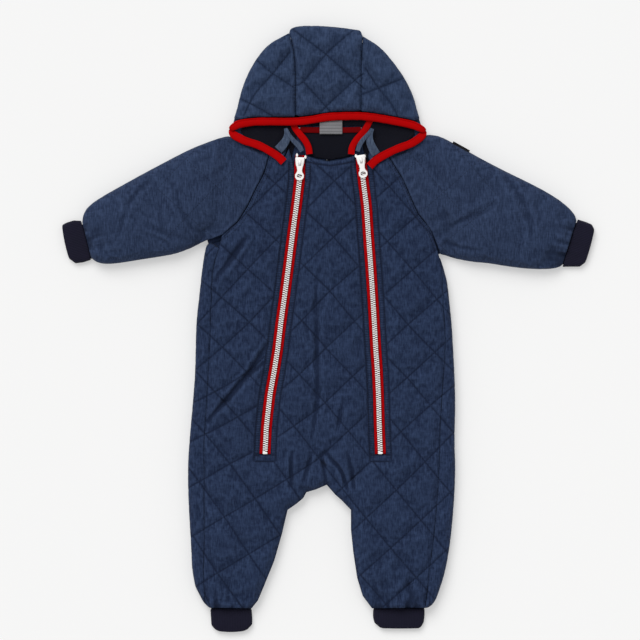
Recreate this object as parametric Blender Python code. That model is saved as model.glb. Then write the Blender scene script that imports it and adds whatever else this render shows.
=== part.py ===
# Hooded padded baby snowsuit with two front zips, lying flat on its back.
# The plan is X (the wearer's left sleeve at +X) and Y (hood at +Y); Z = 0 is the surface it lies on.
# Tables and sizes are in millimetres, meshes in metres.
import math

import bpy
import bmesh
import numpy as np
from mathutils import Vector
from mathutils.geometry import delaunay_2d_cdt

MM = 0.001

# ---------------------------------------------------------------- driving sizes
GAP = 0.3                  # air between two sewn pieces
BODY_FOLD = 9.5            # radius of the folded side of body and legs
BODY_WALL = 8.0            # padded wall at a seam
HOOD_FOLD = 8.5
HOOD_WALL = 7.0
BODY_CROWN = 5.5           # how far a quilted pillow stands above its stitching
HOOD_CROWN = 6.0
HOOD_LOW_Y = 262.0         # where the hood's lower layer leaves its seams for the neck
HOOD_CORNER_X = 124.0
LOBE_RISE = 9.5            # the hood's lower sides climb this much towards zips and shoulders
LOBE_REACH = 20.0
LOBE_FADE_X = 34.0
LOBE_FADE_Y = 14.0
STRIP_CROWN = 3.0          # the same on the narrow strips that the back folds to the front
PILLOW_REACH = 24.0        # from a stitched line to the pillow's flat top
QUILT_RINGS = ((0.32, 1), (0.62, 2), (0.86, 3))    # size of a ring in its diamond, points a side

SLIT_HALF = 7.2            # half the opening that a zip is set into
SLIT_DIP = 3.5             # how far the cloth dips towards the zip
FRONT_INNER_Z = 11.0       # inner side of the front, 3 mm above the back's
FRONT_SEAM_Z = 18.0        # outer side of the front at its stitching
FOLD_DIP = 2.2             # depth of a pressed-in fold, and half its width
FOLD_REACH = 9.0
LEG_NIP = 1.1              # how far front and back close on each other at the inner leg
PLACKET = 9.0              # edge of the slit to its topstitching
SLIT_END = -161.0
ZIP_TOP = 226.0
TAPE_Z = (12.0, 13.2)
CHAIN_HALF = 2.9
CHAIN_Z = (13.5, 16.0)

BIND_WIDTH = 10.2          # folded edge tape round the face opening
BIND_THICK = 6.0
BIND_Z = 13.8
BIND_ENDS = (-121.8, 119.0)
LOWER_BIND_THICK = 4.0
NECK_BIND_Z = (9.8, 11.6)  # underside of the neck tape at the back and at the sides
NECK_BIND_THICK = (1.5, 3.2)
LABEL_THICK = 0.7
LABEL_Z = 11.9
TAB_THICK = 1.6
LINING_THICK = 1.0
FACING_Z = 14.8
FACING_THICK = 1.6
TAB_Z = (4.5, 13.5)

CUFF_WALL = 3.0
SLEEVE_WALL = 5.8
SLEEVE_GATHERS = 2.0       # depth of the gathers at the wrist

SLIDER_LENGTH = 12.5
SLIDER_TOP_WIDTH = 12.4
SLIDER_END_WIDTH = 9.2
PULL_LENGTH = 23.5
PIN_Z = 19.1
PIN_RADIUS = 0.75
PULL_TILT = math.radians(4.5)


class Table:
    """Rows of named columns, read smoothly between the rows by the first column."""

    def __init__(self, names, rows):
        self.names = names.split()
        self.rows = sorted(rows)

    def at(self, name, key):
        keys = [row[0] for row in self.rows]
        values = [row[self.names.index(name)] for row in self.rows]
        if key <= keys[0]:
            return values[0]
        if key >= keys[-1]:
            return values[-1]
        i = max(j for j in range(len(keys) - 1) if keys[j] <= key)
        span = keys[i + 1] - keys[i]
        t = (key - keys[i]) / span

        def slope(j):
            a = max(j - 1, 0)
            b = min(j + 1, len(keys) - 1)
            return (values[b] - values[a]) / (keys[b] - keys[a])

        return ((2 * t**3 - 3 * t**2 + 1) * values[i] + (t**3 - 2 * t**2 + t) * span * slope(i)
                + (-2 * t**3 + 3 * t**2) * values[i + 1] + (t**3 - t**2) * span * slope(i + 1))


# ---------------------------------------------------------------- outlines of the garment
BODY = Table("y outline_l seam_l seam_r outline_r", [
    (112, -156, -140, 138, 143.5), (103, -157.5, -140, 140.5, 143.7), (94, -159, -143, 142, 144),
    (75, -162, -148, 145, 149), (56, -164, -149, 147, 153), (37, -166, -149.5, 147, 155),
    (11, -169, -151, 149, 158), (-21, -170, -152, 150, 160), (-59, -171, -154, 148, 162),
    (-98, -174, -156, 145, 163), (-143, -178, -159, 143, 162), (-181, -180, -159, 142, 163),
    (-226, -179, -159, 139, 161), (-277, -176, -159, 134, 156), (-315, -174, -160, 129, 149),
    (-337, -168, -159, 127, 142), (-350, -160, -154, 126, 137), (-358, -153, -150, 124, 132)])

INNER_LEG_L = [(-98, -358), (-90, -348), (-82, -329), (-69, -297), (-59, -262), (-52, -232)]
CROTCH = [(-41, -224.5), (-32, -217), (-28, -209.5), (-16, -206), (-2, -200), (9, -212.5), (17, -219.5)]
INNER_LEG_R = [(29, -232), (29, -257), (32, -286), (37, -319), (44, -342), (56, -358)]

RAGLAN_L = [(-75, 226), (-82, 200), (-94, 177), (-104, 156), (-116, 137), (-136, 120), (-155, 114)]
RAGLAN_R = [(76, 223), (85, 209), (97, 189), (107, 165), (116, 146), (130, 129), (138, 112), (143.6, 96)]

ZIPS = Table("y left right", [
    (226, -36.2, 40.6), (190, -36.8, 44.7), (157, -40.8, 48.9), (120, -45.8, 51.4),
    (75, -51.5, 54.7), (37, -56.5, 57.2), (11, -60.2, 58.8), (-27, -64.8, 60.9),
    (-53, -68.9, 62.8), (-85, -74.6, 64.3), (-126, -79.2, 65.4), (-161, -81.0, 66.8)])

# Where the hood's lower edge meets shoulder and chest, from the fold's corner to the zip.
COLLAR_L = [(-121, 246), (-106, 240), (-89, 235), (-75, 227.3), (-64, 220.5), (-58, 217)]
COLLAR_R = [(120, 247), (104, 236), (88, 230), (73, 223), (61, 216.5), (55, 212)]
# Round the top of each zip and up to the nape.
NAPE_L = [(-54.5, 223), (-50, 232), (-46, 241), (-45, 249), (-47, 257)]
NAPE_R = [(51, 219), (49, 228), (47.5, 238), (49, 248), (53, 257)]
BIB_TOP = [(-28, 221), (-16, 216.5), (2, 214), (19, 216.5), (33, 221)]

HOOD = Table("y outline_l seam_l seam_r outline_r", [
    (384, -51, -53, 44, 40), (377, -62, -50, 44.5, 50), (363, -78, -45.5, 43.5, 65),
    (345, -93, -43, 42.3, 81), (323, -105, -42, 42, 97), (300, -113, -42, 42, 108.5),
    (282, -117, -42, 42, 114), (273, -119.5, -42, 42, 116), (262, -124, -42, 42, 119.5),
    (252, -126, -44, 47, 124.5), (240, -127, -46, 50, 125)])
CROWN = Table("x y", [(-60, 379), (-51, 384), (-42, 387.3), (-21, 388.4), (9, 386.6), (33, 383.5),
                      (44, 381), (52, 377)])
FACE_EDGE = Table("x y", [(-123, 263), (-113, 268), (-95, 270.6), (-76, 271), (-43, 271), (-21, 273.5),
                          (-1, 276.8), (20, 278), (41, 278), (60, 276), (83, 272), (105, 267.5), (119, 262)])

SEAM_ROWS = {"left": np.linspace(-357.5, 103, 30), "right": np.linspace(-357.5, 92, 30)}
HOOD_ROWS = {"left": np.linspace(378, 273.5, 11), "right": np.linspace(374, 279.5, 11)}

# ---------------------------------------------------------------- quilting
# Crossings of the diamonds down three columns, which stand three half-diamonds apart.
QUILT = {
    -3: Table("w x y", [(-1, -106, 220), (1, -105, 148), (3, -103, 76), (5, -101, 8), (7, -104, -56),
                        (9, -116, -113), (11, -126, -173), (13, -133, -241), (15, -142, -313),
                        (17, -146, -385)]),
    0: Table("w x y", [(-2, 9, 260), (0, 8, 189), (2, 7, 117), (4, 2, 48), (6, -3, -25), (8, -4, -95),
                       (10, -12, -166), (12, -22, -240), (14, -30, -312), (16, -34, -384)]),
    3: Table("w x y", [(-1, 114, 214), (1, 112, 143), (3, 108, 75), (5, 102, 5), (7, 101, -63),
                       (9, 93, -132), (11, 87, -207), (13, 80, -281), (15, 74, -353), (17, 70, -420)]),
}
HOOD_QUILT = [
    [(-36, 376), (-3, 351), (34, 318), (47, 306)], [(20, 372), (-3, 351), (-32, 316), (-45, 311)],
    [(-32, 316), (-3, 284), (4, 276)], [(45, 326), (34, 318), (-3, 284), (-8, 278)],
    [(-49, 354), (-72, 325), (-94, 300), (-108, 273)], [(-85, 340), (-72, 325), (-43, 308)],
    [(-98, 287), (-85, 280), (-68, 270)], [(47, 334), (65, 307), (82, 286), (89, 270)],
    [(44, 298), (65, 307), (85, 316)]]

# Folds pressed into the front: the points of each valley.
FRONT_FOLDS = [
    [(-107, 116), (-120, 94), (-141, 66)],
    [(-79, -20), (-101, -56), (-122, -81), (-140, -100), (-153, -117)],
    [(-48, -160), (-48, -195)],
    [(-10, -166), (-18, -186), (-34, -205)],
    [(-9, -160), (-3, -192)],
    [(-3, -160), (14, -178), (24, -200)],
    [(29, -150), (33, -200)],
    [(-15, 30), (-15, -50), (-18, -130)]]
ANKLE_FOLDS_L = [(-143, 22), (-132, 34), (-121, 26), (-112, 38), (-104, 20)]
ANKLE_FOLDS_R = [(68, 24), (78, 36), (91, 52), (101, 30), (112, 40), (119, 20)]

# ---------------------------------------------------------------- sleeves and cuffs
# Sections: top edge x, y, lower edge x, y, height at the edges, rise of the padding.
SLEEVE_L = [
    (-75, 226, -155.3, 113.5, 17, 0), (-97, 233.5, -162, 110, 13, 4), (-125.5, 247.6, -170, 105.5, 9, 9),
    (-146, 242.2, -180, 100.5, 14, 10), (-177, 230, -197, 95, 18, 9), (-206, 215, -217, 91.5, 19, 8),
    (-238, 198, -240, 88, 19, 8), (-266, 182.5, -264, 84, 19, 7), (-290, 169, -282, 82, 18, 5),
    (-305, 159, -294, 83, 16, 3), (-313, 150, -300, 85.5, 14, 2), (-315.5, 138.5, -303, 88.5, 12, 1)]
SLEEVE_R = [
    (76, 223, 143.8, 94.5, 17, 0), (97, 229, 150, 92.5, 13, 4), (124.8, 249, 158, 90.5, 9, 9),
    (144, 246.5, 169, 87.5, 14, 10), (170, 232, 184, 85, 18, 9), (198, 216.5, 204, 83.5, 19, 8),
    (228, 201, 228, 79.5, 19, 8), (255, 188, 252, 76.5, 19, 7), (280, 175, 274, 75.5, 18, 5),
    (301, 161.5, 288, 76, 16, 3), (313.5, 150, 295, 77, 14, 2), (318.5, 140.5, 299, 79.5, 12, 1)]
WRIST_L = [(-316.2, 138, -303.7, 88, 9, 0), (-326, 138.5, -313, 84.8, 9, 0),
           (-335.5, 135.5, -323.5, 83.5, 9, 0), (-340.6, 132.5, -331.5, 89.5, 8, 0)]
WRIST_R = [(319.3, 139.8, 299.8, 79, 9, 0), (330, 136.5, 311, 79.2, 9, 0),
           (337.6, 133.2, 322, 79.2, 9, 0), (340.6, 127, 329, 84.5, 8, 0)]
ANKLE_L = [(-151, -358.3, -98, -358.3, 9, 0), (-150.3, -370, -97, -370, 9, 0),
           (-149.6, -380, -97, -378.5, 9, 0), (-143.5, -386.3, -104, -385.8, 8, 0)]
ANKLE_R = [(57.5, -358.3, 123.5, -358.3, 9, 0), (57, -368, 123.4, -368, 9, 0),
           (58.5, -376, 122.4, -376, 9, 0), (67, -383.4, 118, -383.4, 8, 0)]

# ---------------------------------------------------------------- trims
HOOD_BIND_LOWER_L = [(-123.6, 250, 11), (-120, 247.4, 12.4), (-113, 243.6, 15), (-106, 240.2, 17.2),
                     (-89, 234.6, 20.2), (-75, 227.3, 21.4), (-64, 220, 21.8), (-58.5, 214.5, 21.8)]
HOOD_BIND_LOWER_R = [(122.6, 248.6, 11), (118.5, 245.4, 12.4), (112, 240.5, 15), (104, 236, 17.2),
                     (88, 230, 20.2), (73, 222.8, 21.6), (61, 215.5, 22.0), (54, 209, 22.0)]
NECK_BIND = [(-28.3, 223.2), (-29.7, 232.3), (-33.6, 238.1), (-42.1, 246.1), (-47.7, 254.7), (-46, 259),
             (-20, 258.2), (0, 257.9), (20, 258.2), (48, 259), (54.3, 254.5), (49.2, 247), (39.4, 237.9),
             (35.2, 232.2), (33.2, 226.5), (33, 223.9), (25.7, 223.3), (26.8, 233.8), (32.6, 243.1), (40, 250.7),
             (20, 250.4), (0, 250), (-20, 250.4), (-34, 250.8), (-26.4, 242.9), (-21.2, 233.6), (-19.7, 224.2)]
HOOD_LINING = [(-108.5, 262), (-112, 252), (-106, 243.5), (-89, 238.5), (-75, 231), (-66, 225), (-58, 224),
               (-54, 232), (-50, 241), (-48.5, 250), (-50, 259.5), (-25, 259.5), (25, 259.5), (55, 259.5),
               (52.5, 248), (51, 238), (53, 229), (57.5, 219), (61, 221), (73, 227), (88, 234),
               (104, 240.5), (110.5, 249), (108, 262), (105, 275), (42, 284), (-42, 279), (-80, 277), (-104, 272)]
FACING_L = [(-55, 256.5), (-50, 249), (-45, 243), (-38, 236), (-33, 230.5), (-31, 226.8),
            (-37, 227), (-41.5, 231), (-46.5, 240), (-51, 232), (-55.5, 225), (-66, 233.5), (-58.5, 246)]
FACING_R = [(57.5, 256), (54, 246), (62, 237), (65.5, 229), (52, 221.5), (47.4, 236), (44, 230),
            (38, 227), (38.5, 231), (43.5, 238), (50, 247.5)]
LABEL_SIZE = (29.0, 17.4)
LABEL_MIDDLE = (3.5, 257.7)
TAB_EDGE = [(159.5, 238.1), (180.5, 226.45)]


# ---------------------------------------------------------------- small helpers
def clear_scene():
    for old in list(bpy.data.objects):
        bpy.data.objects.remove(old, do_unlink=True)


def material(name, colour, roughness, metallic=0.0):
    mat = bpy.data.materials.new(name)
    mat.use_nodes = True
    shader = mat.node_tree.nodes["Principled BSDF"]
    shader.inputs["Base Color"].default_value = (*colour, 1.0)
    shader.inputs["Roughness"].default_value = roughness
    shader.inputs["Metallic"].default_value = metallic
    return mat


DENIM = ((0.030, 0.058, 0.120), 0.9)
LIGHT_DENIM = ((0.110, 0.180, 0.290), 0.9)
RED = ((0.480, 0.004, 0.006), 0.75)
RIB = ((0.012, 0.010, 0.022), 0.95)
LINING = ((0.006, 0.007, 0.014), 0.85)
WHITE = ((0.800, 0.790, 0.760), 0.45)
LABEL = ((0.320, 0.320, 0.330), 0.7)
BLACK = ((0.010, 0.010, 0.012), 0.8)


def make_object(name, points, faces, look, smooth=True):
    """A closed mesh from points in millimetres; its faces are turned outwards here."""
    mesh = bpy.data.meshes.new(name)
    mesh.from_pydata([tuple(c * MM for c in p) for p in points], [], faces)
    bm = bmesh.new()
    bm.from_mesh(mesh)
    bmesh.ops.triangulate(bm, faces=bm.faces)
    bmesh.ops.recalc_face_normals(bm, faces=bm.faces)
    if bm.calc_volume(signed=True) < 0:
        bmesh.ops.reverse_faces(bm, faces=bm.faces)
    bm.to_mesh(mesh)
    bm.free()
    if smooth:
        mesh.shade_smooth()
        mesh.set_sharp_from_angle(angle=math.radians(50))
    obj = bpy.data.objects.new(name, mesh)
    bpy.context.scene.collection.objects.link(obj)
    obj.data.materials.append(material(name + "_finish", look[0], look[1]))
    return obj


def resample(path, step, closed=False):
    """Points about one step apart on a polyline, with its corners kept."""
    pts = list(path) + ([path[0]] if closed else [])
    out = []
    for a, b in zip(pts, pts[1:]):
        length = math.dist(a, b)
        count = max(1, round(length / step))
        for i in range(count):
            t = i / count
            out.append(tuple(p + (q - p) * t for p, q in zip(a, b)))
    if not closed:
        out.append(tuple(pts[-1]))
    return out


def curve(path, step):
    """A smooth curve through the points of a path, sampled about one step apart."""
    pts = [np.array(p, float) for p in path]
    pts = [2 * pts[0] - pts[1]] + pts + [2 * pts[-1] - pts[-2]]
    out = []
    for a, b, c, d in zip(pts, pts[1:], pts[2:], pts[3:]):
        count = max(1, round(float(np.linalg.norm(c - b)) / step))
        for i in range(count):
            t = i / count
            out.append(0.5 * (2 * b + (c - a) * t + (2 * a - 5 * b + 4 * c - d) * t * t
                              + (3 * b - a - 3 * c + d) * t**3))
    out.append(pts[-2])
    return [tuple(float(v) for v in p) for p in out]


def segments(paths):
    """Start and end points of all the segments of some polylines."""
    starts = [p for path in paths for p in path[:-1]]
    ends = [p for path in paths for p in path[1:]]
    return np.array(starts, float)[:, :2], np.array(ends, float)[:, :2]


def distance(point, parts):
    """Shortest distance from a plan point to the segments, and the nearest point."""
    starts, ends = parts
    p = np.array(point[:2], float)
    along = ends - starts
    t = np.clip(((p - starts) * along).sum(1) / np.maximum((along**2).sum(1), 1e-9), 0, 1)
    near = starts + along * t[:, None]
    gaps = np.hypot(*(near - p).T)
    k = int(gaps.argmin())
    return float(gaps[k]), near[k]


def inward(point, parts):
    """Depth inside an edge whose inside is on its right, and the way in."""
    starts, ends = parts
    depth, near = distance(point, parts)
    way = np.array(point[:2], float) - near
    size = float(np.hypot(*way))
    if size > 0.4:
        return depth, way / size
    p = np.array(point[:2], float)
    middles = (starts + ends) / 2
    k = int(np.hypot(*(middles - p).T).argmin())
    run = ends[k] - starts[k]
    run = run / np.hypot(*run)
    return depth, np.array([run[1], -run[0]])


def inside(point, loop):
    x, y = point
    hit = False
    for (ax, ay), (bx, by) in zip(loop, loop[1:] + loop[:1]):
        if (ay > y) != (by > y) and x < (bx - ax) * (y - ay) / (by - ay) + ax:
            hit = not hit
    return hit


def arch(depth, radius):
    """Height of a rounded edge above its middle, at a plan distance in from the edge."""
    short = radius - min(max(depth, 0.0), radius)
    return math.sqrt(radius * radius - short * short)


def pillow(depth, crown, reach=PILLOW_REACH):
    """Height of the padding at a distance from the nearest stitched line."""
    short = 1 - min(depth / reach, 1.0)
    return crown * math.sqrt(1 - short * short)


def triangulate(loop, creases, free, merge=0.25):
    """Triangles that fill a loop, with edges along the creases; gives points, triangles, rim."""
    points = [Vector(p) for p in loop]
    edges = [(i, (i + 1) % len(loop)) for i in range(len(loop))]
    for path in creases:
        base = len(points)
        points += [Vector(p) for p in path]
        edges += [(base + i, base + i + 1) for i in range(len(path) - 1)]
    points += [Vector(p) for p in free]
    found = delaunay_2d_cdt(points, edges, [], 0, merge)
    plan = [tuple(v) for v in found[0]]
    outline = [tuple(p) for p in loop]
    tris = []
    for face in found[2]:
        middle = tuple(sum(plan[i][k] for i in face) / 3 for k in (0, 1))
        if inside(middle, outline):
            tris.append(tuple(face))
    ways = {}
    for tri in tris:
        for a, b in zip(tri, tri[1:] + tri[:1]):
            ways[(a, b)] = ways.get((a, b), 0) + 1
    after = {a: b for (a, b) in ways if (b, a) not in ways}
    start = next(iter(after))
    rim = [start]
    while after[rim[-1]] != start:
        rim.append(after[rim[-1]])
    return plan, tris, rim


def free_points(loop, creases, step, clear):
    """A staggered grid of points inside a loop, clear of its rim and of the creases."""
    walls = segments([list(loop) + [loop[0]]] + [c for c in creases if len(c) > 1])
    xs = [p[0] for p in loop]
    ys = [p[1] for p in loop]
    out = []
    row = 0
    y = min(ys) + step / 2
    while y < max(ys):
        x = min(xs) + (step / 2 if row % 2 else 0)
        while x < max(xs):
            if inside((x, y), loop) and distance((x, y), walls)[0] > clear:
                out.append((x, y))
            x += step
        y += step * 0.866
        row += 1
    return out


def layered_points(loop, creases, fine, coarse):
    """Free points of a panel that goes round a fold: fine above it (u > 0), coarse below."""
    upper = [p for p in free_points(loop, creases, fine, fine * 0.42) if p[0] > 0]
    lower = [p for p in free_points(loop, creases, coarse, coarse * 0.42) if p[0] < 0]
    return upper + lower


SKINS = {}


def panel(name, loop, creases, outer, inner, look, free, plain=None, inner_step=50.0):
    """A wall of cloth: the outer skin takes the creases, the inner one only the plain ones."""
    plan, tris, rim = triangulate(loop, creases, free)
    rim_plan = [plan[i] for i in rim]
    plain = plain or []
    coarse = free_points(rim_plan, plain, inner_step, inner_step * 0.35)
    back_plan, back_tris, back_rim = triangulate(rim_plan, plain, coarse, merge=1e-4)
    points = [outer(*p) for p in plan] + [inner(*p) for p in back_plan]
    SKINS[name] = (back_plan, [inner(*p) for p in back_plan], back_tris)
    shift = len(plan)
    place = {tuple(round(c, 3) for c in back_plan[i]): i + shift for i in back_rim}
    faces = list(tris) + [tuple(i + shift for i in tri) for tri in back_tris]
    for a, b in zip(rim, rim[1:] + rim[:1]):
        low_a = place[tuple(round(c, 3) for c in plan[a])]
        low_b = place[tuple(round(c, 3) for c in plan[b])]
        faces.append((b, a, low_a, low_b))
    used = sorted({i for face in faces for i in face})
    index = {old: new for new, old in enumerate(used)}
    return make_object(name, [points[i] for i in used], [tuple(index[i] for i in f) for f in faces], look)


def loft(name, rings, look, smooth=True, closed_ends=True):
    """A solid through rings of equal length."""
    count = len(rings[0])
    points = [p for ring in rings for p in ring]
    faces = []
    for r in range(len(rings) - 1):
        for i in range(count):
            j = (i + 1) % count
            faces.append((r * count + i, r * count + j, (r + 1) * count + j, (r + 1) * count + i))
    if closed_ends:
        faces.append(tuple(range(count)))
        faces.append(tuple(range((len(rings) - 1) * count, len(rings) * count)))
    else:
        last = len(rings) - 1
        for i in range(count):
            j = (i + 1) % count
            faces.append((i, j, last * count + j, last * count + i))
    return make_object(name, points, faces, look, smooth)


def ribbon(name, path, width, thick, look):
    """A flat band swept along a path of (x, y, z), with softened edges and narrowed ends."""
    rings = []
    half = width / 2
    soft = 0.35 * thick / half
    for i, point in enumerate(path):
        p = Vector(point)
        ahead = Vector(path[min(i + 1, len(path) - 1)])
        behind = Vector(path[max(i - 1, 0)])
        along = (ahead - behind).normalized()
        across = Vector((-along.y, along.x, 0)).normalized()
        across = (across - along * across.dot(along)).normalized()
        up = along.cross(across)
        end = 0.72 if i in (0, len(path) - 1) else 1.0
        ring = []
        for u, v in ((-1, -0.4), (-1, 0.4), (-1 + soft, 1), (1 - soft, 1),
                     (1, 0.4), (1, -0.4), (1 - soft, -1), (-1 + soft, -1)):
            ring.append(tuple(p + across * (u * half * end) + up * (v * thick / 2 * end)))
        rings.append(ring)
    return loft(name, rings, look)


# ---------------------------------------------------------------- front
def quilt_point(c, w):
    """Plan position of lattice point (c, w); crossings are where c + w is even."""
    left, middle, right = (np.array([QUILT[k].at("x", w), QUILT[k].at("y", w)]) for k in (-3, 0, 3))
    if c <= 0:
        return tuple(middle + (left - middle) * (-c / 3))
    return tuple(middle + (right - middle) * (c / 3))


def quilt_lines():
    """Both families of stitched lines, each a polyline across the whole front."""
    lines = []
    for k in range(-4, 13):
        for sign in (1, -1):
            lines.append([quilt_point(c, 2 * k + sign * c) for c in np.arange(-6, 6.01, 0.25)
                          if -2.01 <= 2 * k + sign * c <= 17.01])
    return [line for line in lines if len(line) > 2]


def diamond_points():
    """The middle of every quilted diamond, and rings of points round it."""
    corners = ((1, 0), (0, 1), (-1, 0), (0, -1), (1, 0))
    spots = []
    for c in range(-6, 7):
        for w in range(-3, 19):
            if (c + w) % 2 == 0:
                continue
            spots.append(quilt_point(c, w))
            for ring, count in QUILT_RINGS:
                for (c0, w0), (c1, w1) in zip(corners, corners[1:]):
                    for i in range(count):
                        t = i / count
                        across = ring * (c0 + (c1 - c0) * t)
                        spots.append(quilt_point(c + across, w + ring * (w0 + (w1 - w0) * t)))
    return spots


def ankle_folds():
    folds = []
    for table in (ANKLE_FOLDS_L, ANKLE_FOLDS_R):
        middle = sum(x for x, _ in table) / len(table)
        for x, reach in table:
            lean = (x - middle) * 0.35
            folds.append([(x, -364), (x + lean * 0.4, -358 + reach * 0.5), (x + lean, -358 + reach)])
    return folds


def slit(side):
    """The loop's way down into one zip's slit and up again, from the wearer's right to left."""
    ys = np.linspace(ZIP_TOP - 2, SLIT_END, 22)
    down = [(ZIPS.at(side, y) - SLIT_HALF, y) for y in ys]
    up = [(ZIPS.at(side, y) + SLIT_HALF, y) for y in ys[::-1]]
    return down, up


def front_loop():
    seam_left = [(BODY.at("seam_l", y) + GAP, y) for y in SEAM_ROWS["left"]]
    seam_right = [(BODY.at("seam_r", y) - GAP, y) for y in SEAM_ROWS["right"]]
    legs = INNER_LEG_L + CROTCH + INNER_LEG_R
    left_down, left_up = slit("left")
    right_down, right_up = slit("right")
    left_down = [p for p in left_down if p[1] < 222]
    left_up = [p for p in left_up if p[1] < 219]
    right_down = [p for p in right_down if p[1] < 219]
    right_up = [p for p in right_up if p[1] < 210]
    loop = resample(legs, 12)
    loop += seam_right
    loop += [(p[0] - 0.6, p[1] - 0.4) for p in resample(RAGLAN_R[::-1], 12)[2:]]
    loop += [(61, 214.5), (55, 210.5)]
    loop += right_up[::-1] + right_down[::-1]
    loop += resample(BIB_TOP[::-1], 12)
    loop += left_up[::-1] + left_down[::-1]
    loop += [(-50.4, 230), (-54.8, 221), (-58, 215.6), (-64.5, 218.8)]
    loop += [(p[0] + 0.6, p[1] - 0.4) for p in resample(RAGLAN_L, 12)[:-3]]
    loop += [(-136, 118.6)]
    loop += seam_left[::-1]
    return loop


def make_front():
    loop = front_loop()
    folds = [resample(f, 10) for f in FRONT_FOLDS] + [resample(f, 10) for f in ankle_folds()]
    quilting = quilt_lines()
    zip_lines = []
    placket_lines = []
    for side in ("left", "right"):
        ys = np.linspace(232, SLIT_END, 40)
        zip_lines.append([(ZIPS.at(side, y), y) for y in ys])
        for way in (-1, 1):
            edge = SLIT_HALF + PLACKET
            placket_lines.append([(ZIPS.at(side, y) + way * edge, y) for y in np.linspace(204, -169, 28)])
    zips = segments(zip_lines)
    clear_quilting = []
    for line in quilting:
        run = []
        for p in line:
            if distance(p, zips)[0] > SLIT_HALF + PLACKET + 4:
                run.append(p)
            elif len(run) > 1:
                clear_quilting.append(run)
                run = []
            else:
                run = []
        if len(run) > 1:
            clear_quilting.append(run)
    creases = clear_quilting + placket_lines + folds
    stitched = segments(clear_quilting + placket_lines + [loop + [loop[0]]])
    soft = segments(folds)
    legs = segments([INNER_LEG_L + CROTCH + INNER_LEG_R])
    leg_edge = FRONT_INNER_Z + 1.0

    def outer(x, y):
        height = FRONT_SEAM_Z + pillow(distance((x, y), stitched)[0], BODY_CROWN)
        height -= FOLD_DIP * max(0.0, 1 - distance((x, y), soft)[0] / FOLD_REACH)
        to_zip = distance((x, y), zips)[0]
        if to_zip < SLIT_HALF + PLACKET:
            height = FRONT_SEAM_Z - SLIT_DIP * (1 - max(0.0, to_zip - SLIT_HALF) / PLACKET)
        edge = distance((x, y), legs)[0]
        if edge < BODY_FOLD:
            round_off = leg_edge + arch(edge, BODY_FOLD) * (FRONT_SEAM_Z - leg_edge) / BODY_FOLD
            height = min(height, round_off + 0.35 * (height - FRONT_SEAM_Z))
        return (x, y, height)

    def inner(x, y):
        edge = distance((x, y), legs)[0]
        return (x, y, FRONT_INNER_Z - LEG_NIP * (1 - min(edge / BODY_FOLD, 1)))

    walls = segments(creases + [loop + [loop[0]]])
    free = [p for p in diamond_points() if inside(p, loop) and distance(p, walls)[0] > 3.2]
    return panel("front", loop, creases, outer, inner, DENIM, free)


# ---------------------------------------------------------------- panels that go round a fold
def folded_panel(name, loop, creases, plain, spread, look, free):
    """A hood panel that goes round its folded edge; spread(u, v) gives plan position and layer."""
    edge = segments([hood_outline()])
    stitched = segments(creases + [loop + [loop[0]]])

    def outer(u, v):
        x, y, layer = spread(u, v)
        depth = distance((x, y), edge)[0]
        height = HOOD_FOLD + layer * arch(depth, HOOD_FOLD)
        if layer > 0:
            height += pillow(distance((u, v), stitched)[0], HOOD_CROWN) * min(1.0, depth / HOOD_FOLD)
        return (x, y, height)

    def inner(u, v):
        x, y, layer = spread(u, v)
        depth, way = inward((x, y), edge)
        depth = min(depth, HOOD_FOLD)
        bend = 1 - depth / HOOD_FOLD
        small = HOOD_FOLD - HOOD_WALL
        move = HOOD_FOLD - small * bend - depth
        height = HOOD_FOLD + layer * small * math.sqrt(max(0.0, 1 - bend * bend))
        if layer < 0:
            height += lobe_lift(x, y)
        return (x + way[0] * move, y + way[1] * move, height)

    return panel(name, loop, creases, outer, inner, look, free, plain, 15.0)


def fold_guides(low, high, radius, count, spots=(-1.0, -0.5, -0.13, 0.0, 0.13, 0.5, 1.0)):
    """Lines along a fold, at chosen parts of its radius."""
    return [[(spot * radius, low + (high - low) * i / count) for i in range(count + 1)] for spot in spots]


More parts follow.
